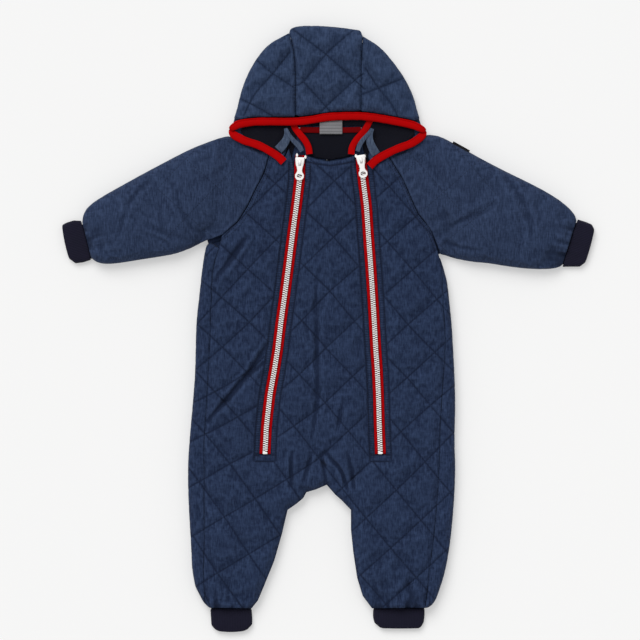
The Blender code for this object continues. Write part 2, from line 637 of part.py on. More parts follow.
def make_back(side):
    sign = -1 if side == "left" else 1
    short = "_l" if side == "left" else "_r"

    def fold_x(y):
        return BODY.at("outline" + short, y)

    def to_plan(u, v):
        return fold_x(v) - sign * abs(u), v, (1 if u > 0 else -1)

    def below(p):
        return (-abs(p[0] - fold_x(p[1])), p[1])

    def above(p):
        return (abs(p[0] - fold_x(p[1])), p[1])

    middle = -2.0 + sign * GAP / 2
    leg = INNER_LEG_L + CROTCH[:3] if side == "left" else INNER_LEG_R[::-1] + CROTCH[:3:-1]
    raglan = RAGLAN_L if side == "left" else RAGLAN_R
    nape = NAPE_L if side == "left" else NAPE_R
    collar = COLLAR_L if side == "left" else COLLAR_R
    top_y = 111.0 if side == "left" else 93.4
    rows = SEAM_ROWS[side]
    loop = [below(p) for p in resample(leg, 14)]
    loop += [below((middle, y)) for y in np.linspace(-199.5, 256.5, 20)]
    loop += [below((p[0] - sign * 0.5, p[1] - 0.4)) for p in nape[::-1]]
    loop += [below((p[0] - sign * 0.1, p[1] - 1.6)) for p in collar[:3:-1]]
    loop += [below((p[0] - sign * 0.5, p[1] - 0.6)) for p in resample(raglan, 14)]
    loop += [(0.0, top_y)]
    loop += [above((BODY.at("seam" + short, y), y)) for y in rows[::-1]]
    loop += [(0.0, -357.5)]

    def strip_width(y):
        return abs(BODY.at("seam" + short, y) - fold_x(y))

    guides = [[p for p in line if p[0] < strip_width(p[1]) - 2.5]
              for line in fold_guides(-350, top_y - 12, BODY_FOLD, 22)]
    guides = [line for line in guides if len(line) > 1]
    quilting = []
    for line in quilt_lines():
        run = [above(p) for p in line if -350 < p[1] < top_y - 14]
        run = [p for p in run if 2 < p[0] < strip_width(p[1]) - 2]
        if len(run) > 1:
            quilting.append(run)
    stitched = segments(quilting + [[(strip_width(y), y) for y in rows]])
    legs = segments([INNER_LEG_L + CROTCH + INNER_LEG_R])
    edge = segments([[(fold_x(y), y) for y in np.linspace(-359, top_y, 40)]])

    def outer(u, v):
        x, y, layer = to_plan(u, v)
        depth = distance((x, y), edge)[0]
        height = BODY_FOLD + layer * arch(depth, BODY_FOLD)
        if layer > 0:
            rise = pillow(distance((u, v), stitched)[0], STRIP_CROWN)
            height += (rise - 1.0) * min(1.0, depth / BODY_FOLD)
        inseam = distance((x, y), legs)[0]
        if layer < 0 and inseam < BODY_FOLD:
            height = max(height, (BODY_FOLD - arch(inseam, BODY_FOLD)) * 0.75)
        return (x, y, height)

    def inner(u, v):
        x, y, layer = to_plan(u, v)
        depth = distance((x, y), edge)[0]
        bend = 1 - min(depth, BODY_FOLD) / BODY_FOLD
        small = BODY_FOLD - BODY_WALL
        move = BODY_FOLD - small * bend - min(depth, BODY_FOLD)
        height = BODY_FOLD + layer * small * math.sqrt(max(0.0, 1 - bend * bend))
        inseam = distance((x, y), legs)[0]
        if layer < 0 and inseam < BODY_FOLD:
            height += (1 - inseam / BODY_FOLD) * LEG_NIP
        x_in = x - sign * move
        if layer > 0:
            seam_x = BODY.at("seam" + short, y)
            x_in = max(x_in, seam_x) if sign > 0 else min(x_in, seam_x)
        return (x_in, y, height)

    free = layered_points(loop, guides + quilting, 9.5, 26)
    return panel("back_" + side, loop, guides + quilting, outer, inner, DENIM, free=free, plain=guides[::3])


def hood_outline():
    left = [(HOOD.at("outline_l", y), y) for y in np.linspace(240, 379, 24)]
    top = [(x, CROWN.at("y", x)) for x in np.linspace(-52, 48, 14)]
    right = [(HOOD.at("outline_r", y), y) for y in np.linspace(376, 240, 24)]
    return left + top + right


def lobe_lift(x, y):
    """How far the hood's lower sides climb towards the shoulders and the zips."""
    near = distance((x, y), segments([COLLAR_L, COLLAR_R]))[0]
    from_corner = min(1.0, max(0.0, (HOOD_CORNER_X - abs(x)) / LOBE_FADE_X))
    from_hood = min(1.0, max(0.0, (HOOD_LOW_Y - y) / LOBE_FADE_Y))
    return LOBE_RISE * from_corner * from_hood * max(0.0, 1 - near / LOBE_REACH)


def make_hood_side(side):
    sign = -1 if side == "left" else 1
    short = "_l" if side == "left" else "_r"

    def fold_x(y):
        return HOOD.at("outline" + short, y)

    def to_plan(u, v):
        return fold_x(v) - sign * abs(u), v, (1 if u > 0 else -1)

    def flat(p, layer):
        return (layer * abs(p[0] - fold_x(p[1])), p[1])

    top_y = float(HOOD_ROWS[side][0])
    collar = COLLAR_L if side == "left" else COLLAR_R
    nape = NAPE_L if side == "left" else NAPE_R
    rows = HOOD_ROWS[side]
    low_rows = [HOOD_LOW_Y] + list(rows[::-1])
    seam = [(HOOD.at("seam" + short, y) + sign * GAP, y) for y in rows]
    face_x = np.linspace(abs(seam[-1][0]) + 1, 113 if side == "left" else 108, 8)
    face = [(sign * x, FACE_EDGE.at("y", sign * x) + GAP) for x in face_x]
    loop = [flat(p, 1) for p in seam]
    loop += [flat(p, 1) for p in face]
    corner = 268.0
    loop += [(0.0, corner), (0.0, 259.5), (0.0, 252.0)]
    loop += [flat(p, -1) for p in resample(collar, 12)]
    loop += [flat(p, -1) for p in resample(nape, 12)]
    loop += [flat((HOOD.at("seam" + short, y) + sign * GAP, y), -1) for y in low_rows]
    lines = [resample(line, 10) for line in HOOD_QUILT
             if all(p[0] * sign > 40 for p in line)]
    creases = [[flat(p, 1) for p in line if abs(p[0]) > 43.5] for line in lines]
    guides = [[p for p in line if p[1] < top_y - 2.5] for line in fold_guides(256, top_y, HOOD_FOLD, 9)]
    guides = [[p for p in line if abs(HOOD.at("seam" + short, p[1]) - fold_x(p[1])) > abs(p[0]) + 3]
              for line in guides]
    guides = [[p for p in line if p[0] <= 0 or p[1] > 268] for line in guides]
    free = layered_points(loop, creases + guides, 10.5, 17)
    return folded_panel("hood_" + side, loop, creases + guides, guides[::3], to_plan, DENIM, free)


def make_hood_centre():
    def to_plan(u, v):
        return u, CROWN.at("y", u) - abs(v), (1 if v > 0 else -1)

    def flat(p, layer):
        return (p[0], layer * (CROWN.at("y", p[0]) - p[1]))

    def seam(short, ys, way):
        return [(HOOD.at("seam" + short, y) + way * GAP / 2, y) for y in ys]

    left_rows = HOOD_ROWS["left"]
    right_rows = HOOD_ROWS["right"]
    left_top = [flat(p, 1) for p in seam("_l", left_rows, 1)]
    face = [(x, FACE_EDGE.at("y", x) + GAP) for x in np.linspace(-36, 36, 7)]
    loop = left_top + [flat(p, 1) for p in face]
    loop += [flat(p, 1) for p in seam("_r", right_rows[::-1], -1)]
    loop += [(44.2, 0.0)]
    loop += [flat(p, -1) for p in seam("_r", list(right_rows) + [HOOD_LOW_Y], -1)]
    loop += [flat(p, -1) for p in ((50, 257.2), (25, 257.2), (0, 257.2), (-25, 257.2), (-46.5, 257.2))]
    loop += [flat(p, -1) for p in seam("_l", [HOOD_LOW_Y] + list(left_rows[::-1]), 1)]
    loop += [(-51.6, 0.0)]
    lines = [resample(line, 10) for line in HOOD_QUILT if all(abs(p[0]) < 50 for p in line)]
    creases = [[flat(p, 1) for p in line if abs(p[0]) < 40.5] for line in lines]
    guides = []
    for spot in (-1.0, -0.5, -0.13, 0.0, 0.13, 0.5, 1.0):
        guides.append([(x, spot * HOOD_FOLD) for x in np.linspace(-46, 40, 8)])
    fine = [p for p in free_points(loop, creases + guides, 10.5, 4.4) if p[1] > 0]
    coarse = [p for p in free_points(loop, creases + guides, 24, 10) if p[1] < 0]
    return folded_panel("hood_centre", loop, creases + guides, guides[::3], to_plan, DENIM, fine + coarse)


# ---------------------------------------------------------------- tubes: sleeves and cuffs
def ring_shape(row, wall, bow, gathers, fade):
    """Outer and inner loop of one flattened section, from its top edge to its lower edge and back."""
    tx, ty, bx, by, height, crown = row
    a = np.array([tx, ty])
    b = np.array([bx, by])
    width = float(np.hypot(*(b - a)))
    radius = height / 2
    edge_spots = (0.0, 0.12, 0.5, 1.0)
    middles = 9
    depths = [s * radius for s in edge_spots]
    depths += [radius + (width - 2 * radius) * (i + 1) / (middles + 1) for i in range(middles)]
    depths += [width - s * radius for s in edge_spots[::-1]]

    def place(depth, layer, size, extra):
        f = depth / width
        edge = min(depth, width - depth)
        bend = 1 - min(edge, radius) / radius
        shift = radius - size * bend - min(edge, radius)
        move = shift if depth < width / 2 else -shift
        spot = a + (b - a) * ((depth + move) / width) + bow(f)
        return (spot[0], spot[1], radius + layer * size * math.sqrt(max(0.0, 1 - bend * bend)) + extra)

    outer = []
    inner = []
    small = max(radius - wall, 0.8)
    for i, depth in enumerate(depths):
        f = depth / width
        rise = crown * math.sin(math.pi * f) ** 0.7 if 0 < f < 1 else 0.0
        if gathers and 3 < i < len(depths) - 4 and i % 2:
            rise -= gathers * fade
        outer.append(place(depth, 1, radius, rise))
        inner.append(place(depth, 1, small, rise * 0.25))
    for depth in depths[-2:0:-2]:
        outer.append(place(depth, -1, radius, 0.0))
        inner.append(place(depth, -1, small, 0.0))
    return outer, inner


def make_tube(name, rows, wall, look, start=None, end_bow=0.0, gathers=0.0):
    """A tube of cloth pressed flat; start is the curved seam that its first section follows."""
    outers = []
    inners = []
    for i, row in enumerate(rows):
        a = np.array(row[0:2], float)
        b = np.array(row[2:4], float)
        along = (b - a) / np.hypot(*(b - a))
        out_way = np.array([-along[1], along[0]])
        t = i / (len(rows) - 1)

        def bow(f, t=t, a=a, b=b, out_way=out_way):
            move = np.zeros(2)
            if start is not None:
                lengths = np.cumsum([0] + [math.dist(p, q) for p, q in zip(start, start[1:])])
                spot = np.array([np.interp(f * lengths[-1], lengths, [p[k] for p in start]) for k in (0, 1)])
                base = np.array(start[0]) + (np.array(start[-1]) - np.array(start[0])) * f
                move = (spot - base) * (1 - t) ** 2.2
            return move + out_way * end_bow * t**3 * math.sin(math.pi * f) ** 0.6 if 0 < f < 1 else move

        outer, inner = ring_shape(row, wall, bow, gathers, t**3)
        outers.append(outer)
        inners.append(inner)
    return loft(name, outers + inners[::-1], look, closed_ends=False)


# ---------------------------------------------------------------- zips
def strip(name, side, low, high, half, z_range, look, count):
    """A flat strip along one zip."""
    rings = []
    for y in np.linspace(low, high, count):
        x = ZIPS.at(side, y)
        z0, z1 = z_range
        rings.append([(x - half, y, z0), (x + half, y, z0), (x + half, y, z1), (x - half, y, z1)])
    return loft(name, rings, look, smooth=False)


SLIDER_PLACE = {"left": (-36.4, 213.0, math.radians(-1.5)), "right": (42.0, 216.0, math.radians(8.5))}
PLATE_Z = (16.3, 17.4)
FLANGE_Z = 14.0
CHANNEL_HALF = 3.75


def place_on_zip(obj, side):
    x, y, turn = SLIDER_PLACE[side]
    obj.location = (x * MM, y * MM, PIN_Z * MM)
    obj.rotation_euler = (0.0, 0.0, turn)


def make_slider(side):
    """A channel that straddles the chain, with the arch that holds the pull's pin."""
    rings = []
    for t in np.linspace(0, 1, 7):
        y = SLIDER_LENGTH * (0.5 - t)
        half = (SLIDER_TOP_WIDTH + (SLIDER_END_WIDTH - SLIDER_TOP_WIDTH) * t) / 2
        half -= 0.8 * (abs(2 * t - 1) ** 6)
        low, under, top = (z - PIN_Z for z in (FLANGE_Z, *PLATE_Z))
        rings.append([(-half, y, low), (-half, y, top - 0.4), (-half + 0.6, y, top), (half - 0.6, y, top),
                      (half, y, top - 0.4), (half, y, low), (CHANNEL_HALF, y, low), (CHANNEL_HALF, y, under),
                      (-CHANNEL_HALF, y, under), (-CHANNEL_HALF, y, low)])
    body = loft("zip_slider_" + side, rings, WHITE, smooth=False)
    arch_half = 1.1
    foot = PLATE_Z[1] - PIN_Z - 0.4
    outline = [(-3.4, foot), (-3.4, 0.6), (-2.4, 2.1), (-1.2, 2.7), (1.2, 2.7), (2.4, 2.1), (3.4, 0.6),
               (3.4, foot), (2.2, foot), (2.2, 0.3), (1.4, 1.2), (-1.4, 1.2), (-2.2, 0.3), (-2.2, foot)]
    rings = [[(x, y, z) for y, z in outline] for x in (-arch_half, arch_half)]
    bail = loft("bail", rings, WHITE, smooth=False)
    join = body.modifiers.new("bail", "BOOLEAN")
    join.operation = "UNION"
    join.object = bail
    bpy.context.view_layer.update()
    solid = bpy.data.meshes.new_from_object(body.evaluated_get(bpy.context.evaluated_depsgraph_get()))
    body.modifiers.clear()
    body.data = solid
    bpy.data.objects.remove(bail, do_unlink=True)
    place_on_zip(body, side)
    return body


def make_pull(side):
    """Tab with a forked head on a cross pin and a ring at its free end; its origin is the pin's axis."""
    half_thick = 0.75
    end_radius = 5.8
    centre = -(PULL_LENGTH - end_radius)
    outline = [(-3.9, 0.9), (-3.9, -4.6), (-3.3, -9.0), (-2.9, centre + end_radius + 1.2)]
    for i in range(9):
        angle = math.radians(130 + 280 * i / 8)
        outline.append((end_radius * math.cos(angle), centre + end_radius * math.sin(angle)))
    outline += [(2.9, centre + end_radius + 1.2), (3.3, -9.0), (3.9, -4.6), (3.9, 0.9)]
    fork = [(1.7, 0.9), (1.7, -4.7), (-1.7, -4.7), (-1.7, 0.9)]
    loop = outline + fork
    hole = [(3.5 * math.cos(math.radians(36 * i)), centre + 2.6 * math.sin(math.radians(36 * i)))
            for i in range(10)]
    points = [Vector(p) for p in loop + hole]
    n, m = len(loop), len(hole)
    edges = [(i, (i + 1) % n) for i in range(n)] + [(n + i, n + (i + 1) % m) for i in range(m)]
    found = delaunay_2d_cdt(points, edges, [], 0, 1e-5)
    plan = [tuple(v) for v in found[0]]
    tris = []
    for face in found[2]:
        middle = tuple(sum(plan[i][k] for i in face) / 3 for k in (0, 1))
        if inside(middle, loop) and not inside(middle, hole):
            tris.append(tuple(face))
    solid = [(x, y, half_thick) for x, y in plan] + [(x, y, -half_thick) for x, y in plan]
    count = len(plan)
    faces = list(tris) + [tuple(i + count for i in tri) for tri in tris]
    ways = {(a, b) for tri in tris for a, b in zip(tri, tri[1:] + tri[:1])}
    for a, b in ways:
        if (b, a) not in ways:
            faces.append((b, a, a + count, b + count))
    pull = make_object("zip_pull_" + side, solid, faces, WHITE, smooth=False)
    pin_ring = [(PIN_RADIUS * math.cos(math.radians(45 * i)), PIN_RADIUS * math.sin(math.radians(45 * i)))
                for i in range(8)]
    pin = loft("pin", [[(x, y, z) for y, z in pin_ring] for x in (-2.4, 2.4)], WHITE, smooth=False)
    join = pull.modifiers.new("pin", "BOOLEAN")
    join.operation = "UNION"
    join.object = pin
    bpy.context.view_layer.update()
    mesh = bpy.data.meshes.new_from_object(pull.evaluated_get(bpy.context.evaluated_depsgraph_get()))
    pull.modifiers.clear()
    pull.data = mesh
    bpy.data.objects.remove(pin, do_unlink=True)
    for vertex in mesh.vertices:
        y, z = vertex.co.y, vertex.co.z
        vertex.co.y = y * math.cos(PULL_TILT) - z * math.sin(PULL_TILT)
        vertex.co.z = y * math.sin(PULL_TILT) + z * math.cos(PULL_TILT)
    place_on_zip(pull, side)
    return pull


# ---------------------------------------------------------------- linings, facings, labels
def sheet_on(name, loop, base, thick, look, step=14):
    """A thin piece just above a surface base(x, y); thick(x, y) is its own thickness."""
    plan, tris, rim = triangulate(resample(loop, step, closed=True), [], free_points(loop, [], step, step * 0.4))
    count = len(plan)
    lower = [(x, y, base(x, y) + GAP) for x, y in plan]
    points = [(x, y, z + thick(x, y)) for x, y, z in lower] + lower
    faces = list(tris) + [tuple(i + count for i in tri) for tri in tris]
    for a, b in zip(rim, rim[1:] + rim[:1]):
        faces.append((b, a, a + count, b + count))
    return make_object(name, points, faces, look)


def hood_floor(x, y):
    """Height of the inner side of the hood's lower layer, read from its panels."""
    best = 0.0
    nearest = (1e9, 0.0)
    for name, axis in (("hood_left", 0), ("hood_centre", 1), ("hood_right", 0)):
        plan, skin, tris = SKINS[name]
        for tri in tris:
            corners = [skin[i] for i in tri]
            if max(plan[i][axis] for i in tri) > 0:
                continue
            height, away = height_in(x, y, corners)
            if away <= 0.0:
                best = max(best, height)
            nearest = min(nearest, (away, height))
    return best or nearest[1]


def height_in(x, y, corners):
    """Height of a triangle over a plan point, and how far the point lies outside it."""
    (ax, ay, az), (bx, by, bz), (cx, cy, cz) = corners
    area = (bx - ax) * (cy - ay) - (cx - ax) * (by - ay)
    if abs(area) < 1e-6:
        return az, 1e9
    s = ((x - ax) * (cy - ay) - (cx - ax) * (y - ay)) / area
    t = ((bx - ax) * (y - ay) - (x - ax) * (by - ay)) / area
    away = max(0.0, -s, -t, s + t - 1)
    s, t = min(max(s, 0.0), 1.0), min(max(t, 0.0), 1.0)
    return az + s * (bz - az) + t * (cz - az), away


def make_linings():
    sheet_on("hood_lining", HOOD_LINING, lambda x, y: hood_floor(x, y) + 2 * GAP, lambda x, y: LINING_THICK,
             LINING, step=9)
    nape_loop = [(-38, 243), (-30, 235.5), (-27, 229), (-26.5, 222), (-15, 218.3), (2, 215.8), (18, 218.3),
                 (31, 222), (33, 230), (38, 237), (46, 245), (44, 253), (0, 253), (-40, 253)]
    sheet_on("neck_lining", nape_loop, lambda x, y: BODY_WALL, lambda x, y: LINING_THICK, LINING)


def make_facings():
    for side, loop in (("left", FACING_L), ("right", FACING_R)):
        sheet_on("zip_facing_" + side, loop, lambda x, y: max(FACING_Z, hood_floor(x, y) + 2.4),
                 lambda x, y: FACING_THICK, LIGHT_DENIM, step=9)


def make_bindings():
    """The red tape: round the face opening, on the hood's lower edges and on the neck seam."""
    top = [(x, FACE_EDGE.at("y", x) - BIND_WIDTH / 2 - 3 * GAP, BIND_Z) for x in np.linspace(*BIND_ENDS, 25)]
    ribbon("hood_binding", top, BIND_WIDTH, BIND_THICK, RED)
    ribbon("hood_binding_left", curve(HOOD_BIND_LOWER_L, 8), BIND_WIDTH, LOWER_BIND_THICK, RED)
    ribbon("hood_binding_right", curve(HOOD_BIND_LOWER_R, 8), BIND_WIDTH, LOWER_BIND_THICK, RED)

    def to_side(x, pair):
        """Blend a pair of values from the back of the neck to its sides."""
        t = min(1.0, max(0.0, (abs(x - LABEL_MIDDLE[0]) - LABEL_SIZE[0] / 2 - 2) / 8))
        return pair[0] + (pair[1] - pair[0]) * t

    sheet_on("neck_binding", NECK_BIND, lambda x, y: to_side(x, NECK_BIND_Z),
             lambda x, y: to_side(x, NECK_BIND_THICK), RED, step=7)


def make_label():
    """A plain sewn-in label that goes up under the hood's edge tape."""
    low = LABEL_MIDDLE[1] - LABEL_SIZE[1] / 2
    rings = []
    for x in np.linspace(LABEL_MIDDLE[0] - LABEL_SIZE[0] / 2, LABEL_MIDDLE[0] + LABEL_SIZE[0] / 2, 6):
        high = FACE_EDGE.at("y", x) - BIND_WIDTH - 4 * GAP
        rings.append([(x, low, LABEL_Z), (x, high, LABEL_Z), (x, high, LABEL_Z + LABEL_THICK),
                      (x, low, LABEL_Z + LABEL_THICK)])
    loft("care_label", rings, LABEL, smooth=False)


def make_tab():
    """A plain folded tab sewn into the top seam of one sleeve, standing on its edge."""
    (ax, ay), (bx, by) = TAB_EDGE
    run = np.array([bx - ax, by - ay]) / math.dist(*TAB_EDGE)
    out_way = np.array([-run[1], run[0]])
    low, high = TAB_Z
    rings = []
    for t in np.linspace(0, 1, 4):
        spot = np.array([ax, ay]) + (np.array([bx, by]) - np.array([ax, ay])) * t
        near, far = spot + out_way * GAP, spot + out_way * (GAP + TAB_THICK)
        rings.append([(*near, low), (*far, low + 0.6), (*far, high - 0.6), (*near, high)])
    loft("sleeve_tab", rings, BLACK, smooth=False)


# ---------------------------------------------------------------- build
def main():
    clear_scene()
    make_front()
    for side in ("left", "right"):
        make_back(side)
        make_hood_side(side)
    make_hood_centre()
    make_tube("sleeve_left", SLEEVE_L, SLEEVE_WALL, DENIM, RAGLAN_L, 0.0, SLEEVE_GATHERS)
    make_tube("sleeve_right", SLEEVE_R, SLEEVE_WALL, DENIM, RAGLAN_R + [(143.8, 94.5)], 0.0,
              SLEEVE_GATHERS)
    make_tube("wrist_cuff_left", WRIST_L, CUFF_WALL, RIB, None, -1.5)
    make_tube("wrist_cuff_right", WRIST_R, CUFF_WALL, RIB, None, 1.0)
    make_tube("ankle_cuff_left", ANKLE_L, CUFF_WALL, RIB, None, -2.4)
    make_tube("ankle_cuff_right", ANKLE_R, CUFF_WALL, RIB, None, -0.6)
    for side in ("left", "right"):
        strip("zip_tape_" + side, side, SLIT_END + GAP, ZIP_TOP, SLIT_HALF - GAP, TAPE_Z, RED, 22)
        strip("zip_chain_" + side, side, SLIT_END + 3, 218.0, CHAIN_HALF, CHAIN_Z, WHITE, 22)
        make_slider(side)
        make_pull(side)
    make_linings()
    make_facings()
    make_bindings()
    make_label()
    make_tab()


main()
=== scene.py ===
import math
import bpy
import bmesh
import numpy as np
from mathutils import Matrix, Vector
from mathutils.bvhtree import BVHTree
from mathutils.kdtree import KDTree


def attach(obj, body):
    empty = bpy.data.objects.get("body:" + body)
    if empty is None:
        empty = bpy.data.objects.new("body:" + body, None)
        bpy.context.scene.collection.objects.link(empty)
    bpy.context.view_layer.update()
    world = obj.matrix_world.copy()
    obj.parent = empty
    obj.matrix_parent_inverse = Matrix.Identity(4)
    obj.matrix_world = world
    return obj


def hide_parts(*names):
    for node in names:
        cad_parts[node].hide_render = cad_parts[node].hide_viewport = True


# Padded snowsuit lying flat. Plan sizes are in millimetres, meshes in metres.
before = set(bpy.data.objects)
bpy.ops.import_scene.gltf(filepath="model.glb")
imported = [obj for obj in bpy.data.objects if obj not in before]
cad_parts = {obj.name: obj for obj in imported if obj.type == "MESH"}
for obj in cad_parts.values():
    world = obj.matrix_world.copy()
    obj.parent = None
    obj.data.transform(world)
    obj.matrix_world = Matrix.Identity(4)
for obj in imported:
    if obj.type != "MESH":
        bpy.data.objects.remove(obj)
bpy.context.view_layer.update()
mm = 0.001
frontFrom = 9.5  # height in millimetres above which a surface belongs to the layer that shows
skins = []  # every padded skin, for stitches to lie on


# Mesh helpers.
def addObject(name, mesh):
    obj = bpy.data.objects.new(name, mesh)
    bpy.context.scene.collection.objects.link(obj)
    return obj


def getPoints(mesh):
    flat = np.empty(len(mesh.vertices) * 3)
    mesh.vertices.foreach_get("co", flat)
    return flat.reshape(-1, 3)


def getFaces(mesh):
    return np.array([tuple(p.vertices) for p in mesh.polygons])


def setPoints(mesh, pts):
    mesh.vertices.foreach_set("co", np.ascontiguousarray(pts).ravel())
    mesh.update()


def getNormals(mesh):
    flat = np.empty(len(mesh.vertices) * 3)
    mesh.vertex_normals.foreach_get("vector", flat)
    return flat.reshape(-1, 3)


def meshFrom(name, pts, faces, smooth=True):
    mesh = bpy.data.meshes.new(name)
    mesh.from_pydata([tuple(p) for p in pts], [], faces)
    mesh.update()
    if smooth:
        mesh.shade_smooth()
    return mesh


def ringFaces(base, rings, wide):
    # Faces between rings of points, and one over each end.
    faces = []
    for r in range(rings - 1):
        for i in range(wide):
            a, b = base + r * wide + i, base + r * wide + (i + 1) % wide
            faces.append((a, b, b + wide, a + wide))
    return faces + [tuple(base + i for i in reversed(range(wide))),
                    tuple(base + (rings - 1) * wide + i for i in range(wide))]


def tidyMesh(mesh):
    # Cuts the end faces into triangles and turns every face outward.
    bm = bmesh.new()
    bm.from_mesh(mesh)
    bmesh.ops.triangulate(bm, faces=[f for f in bm.faces if len(f.verts) > 4])
    bmesh.ops.recalc_face_normals(bm, faces=bm.faces)
    bm.to_mesh(mesh)
    bm.free()


def copyNode(node, name):
    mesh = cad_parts[node].data.copy()
    bm = bmesh.new()
    bm.from_mesh(mesh)
    bmesh.ops.remove_doubles(bm, verts=bm.verts, dist=1e-5)
    clean = bpy.data.meshes.new(name)
    bm.to_mesh(clean)
    bm.free()
    bpy.data.meshes.remove(mesh)
    for layer in [a for a in clean.attributes if a.name == "custom_normal"]:
        clean.attributes.remove(layer)
    clean.materials.clear()
    return addObject(name, clean)


def bakeModifiers(obj):
    graph = bpy.context.evaluated_depsgraph_get()
    done = bpy.data.meshes.new_from_object(obj.evaluated_get(graph))
    old = obj.data
    obj.modifiers.clear()
    obj.data = done
    bpy.data.meshes.remove(old)


def outerPoints(mesh, upward=0.6, start=0.2):
    # True where the piece itself doesn't cover its surface: hollows and undersides stay plain.
    pts, normals = getPoints(mesh), getNormals(mesh)
    tree = BVHTree.FromPolygons([tuple(p) for p in pts], [tuple(p.vertices) for p in mesh.polygons])
    seen = np.zeros(len(pts), bool)
    for i, (p, n) in enumerate(zip(pts, normals)):
        way = Vector((n[0], n[1], max(n[2], 0) + upward)).normalized()
        seen[i] = n[2] > -0.5 and tree.ray_cast(Vector(p) + way * start * mm, way)[0] is None
    return seen


def edgesOf(pts, tris):
    ends = np.sort(np.stack([tris, np.roll(tris, -1, 1)], 2), 2).astype(np.int64)
    keys, index = np.unique(ends[:, :, 0] * len(pts) + ends[:, :, 1], return_inverse=True)
    return np.stack([keys // len(pts), keys % len(pts)], 1), index.reshape(tris.shape)


def cutFaces(pts, tris, ends, index, marked):
    # Puts a point on each marked edge and cuts the faces beside it.
    number = np.full(len(ends), -1)
    number[marked] = len(pts) + np.arange(marked.sum())
    pts = np.concatenate([pts, pts[ends[marked]].mean(1)])
    count = marked[index].sum(1)
    turn = np.where(count == 2, (~marked[index]).argmax(1), marked[index].argmax(1))
    order = (turn[:, None] + np.arange(3)) % 3
    p, q, r = np.take_along_axis(tris, order, 1).T
    e, f, g = number[np.take_along_axis(index, order, 1)].T
    one, two, three = count == 1, count == 2, count == 3
    near = np.linalg.norm(pts[p] - pts[f], axis=1) < np.linalg.norm(pts[q] - pts[g], axis=1)
    new = [tris[count == 0]]
    for chosen, corners in ((one, (p, e, r)), (one, (e, q, r)), (two, (f, r, g)),
                            (two & near, (p, q, f)), (two & near, (p, f, g)),
                            (two & ~near, (p, q, g)), (two & ~near, (q, f, g)),
                            (three, (p, e, g)), (three, (e, q, f)), (three, (g, f, r)), (three, (e, f, g))):
        new.append(np.stack(corners, 1)[chosen])
    return pts, np.concatenate(new)


def turnEdges(pts, tris, level=0.992, upward=0.25, gain=0.06):
    # Turns the edge between two faces of one plane where that gives better shaped faces.
    ends, index = edgesOf(pts, tris)
    halves = index.ravel()
    order = np.argsort(halves, kind="stable")
    paired = halves[order][:-1] == halves[order][1:]
    (f, k), (g, m) = divmod(order[:-1][paired], 3), divmod(order[1:][paired], 3)
    a, b, c, d = tris[f, k], tris[f, (k + 1) % 3], tris[f, (k + 2) % 3], tris[g, (m + 2) % 3]
    normal = np.cross(pts[tris[:, 1]] - pts[tris[:, 0]], pts[tris[:, 2]] - pts[tris[:, 0]])
    normal /= np.maximum(np.linalg.norm(normal, axis=1), 1e-18)[:, None]

    def corner(tip, one, two):
        u, v = pts[one] - pts[tip], pts[two] - pts[tip]
        return np.arctan2(np.linalg.norm(np.cross(u, v), axis=1), (u * v).sum(1))

    good = ((normal[f] * normal[g]).sum(1) > level) & (normal[f, 2] > upward) & (tris[g, m] == b)
    good &= corner(c, a, b) + corner(d, a, b) > math.pi + gain
    known = set(map(tuple, ends.tolist()))
    touched = set()
    for i in np.where(good)[0]:
        pair = (int(min(c[i], d[i])), int(max(c[i], d[i])))
        if f[i] in touched or g[i] in touched or pair in known:
            continue
        tris[f[i]], tris[g[i]] = (a[i], d[i], c[i]), (d[i], b[i], c[i])
        touched.update((f[i], g[i]))
        known.add(pair)
    return tris


def setFaces(mesh, pts, tris):
    mesh.clear_geometry()
    mesh.from_pydata(pts.tolist(), [], tris.tolist())
    mesh.update()


def refineCloth(obj, edge, rounds=7):
    # Splits the long edges of what shows, so that the node's own surface and hollows are kept.
    mesh = obj.data
    for _ in range(rounds):
        pts, tris, seen = getPoints(mesh), getFaces(mesh), outerPoints(mesh)
        ends, index = edgesOf(pts, tris)
        length = np.linalg.norm(pts[ends[:, 0]] - pts[ends[:, 1]], axis=1)
        marked = (length > edge * mm) & seen[ends].any(1)
        if not marked.any():
            break
        longest = index[np.arange(len(tris)), length[index].argmax(1)]
        while (marked[index].any(1) & ~marked[longest]).any():
            marked[longest[marked[index].any(1)]] = True
        pts, tris = cutFaces(pts, tris, ends, index, marked)
        for _ in range(2):
            tris = turnEdges(pts, tris)
        setFaces(mesh, pts, tris)
    return outerPoints(mesh)


def relax(mesh, pts, times, share=0.5, mask=None):
    ends = np.empty(len(mesh.edges) * 2, dtype=np.int32)
    mesh.edges.foreach_get("vertices", ends)
    a, b = ends.reshape(-1, 2).T
    size = len(pts)
    count = np.maximum(np.bincount(a, minlength=size) + np.bincount(b, minlength=size), 1)
    weight = share if mask is None else share * mask[:, None]
    for _ in range(times):
        total = np.stack([np.bincount(a, weights=pts[b, k], minlength=size)
                          + np.bincount(b, weights=pts[a, k], minlength=size) for k in range(3)], 1)
        pts = pts + (total / count[:, None] - pts) * weight
    return pts


def splitFaces(obj, chosen):
    pts, tris = getPoints(obj.data), getFaces(obj.data)
    ends, index = edgesOf(pts, tris)
    setFaces(obj.data, *cutFaces(pts, tris, ends, index, chosen[ends].all(1)))


def storeMask(mesh, name, values):
    layer = mesh.attributes.new(name, "FLOAT", "POINT")
    layer.data.foreach_set("value", np.asarray(values, dtype=np.float32))


def finish(obj, look, nodes, body="suit"):
    obj.data.materials.clear()
    obj.data.materials.append(look)
    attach(obj, body)
    if nodes:
        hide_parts(*nodes)
    return obj


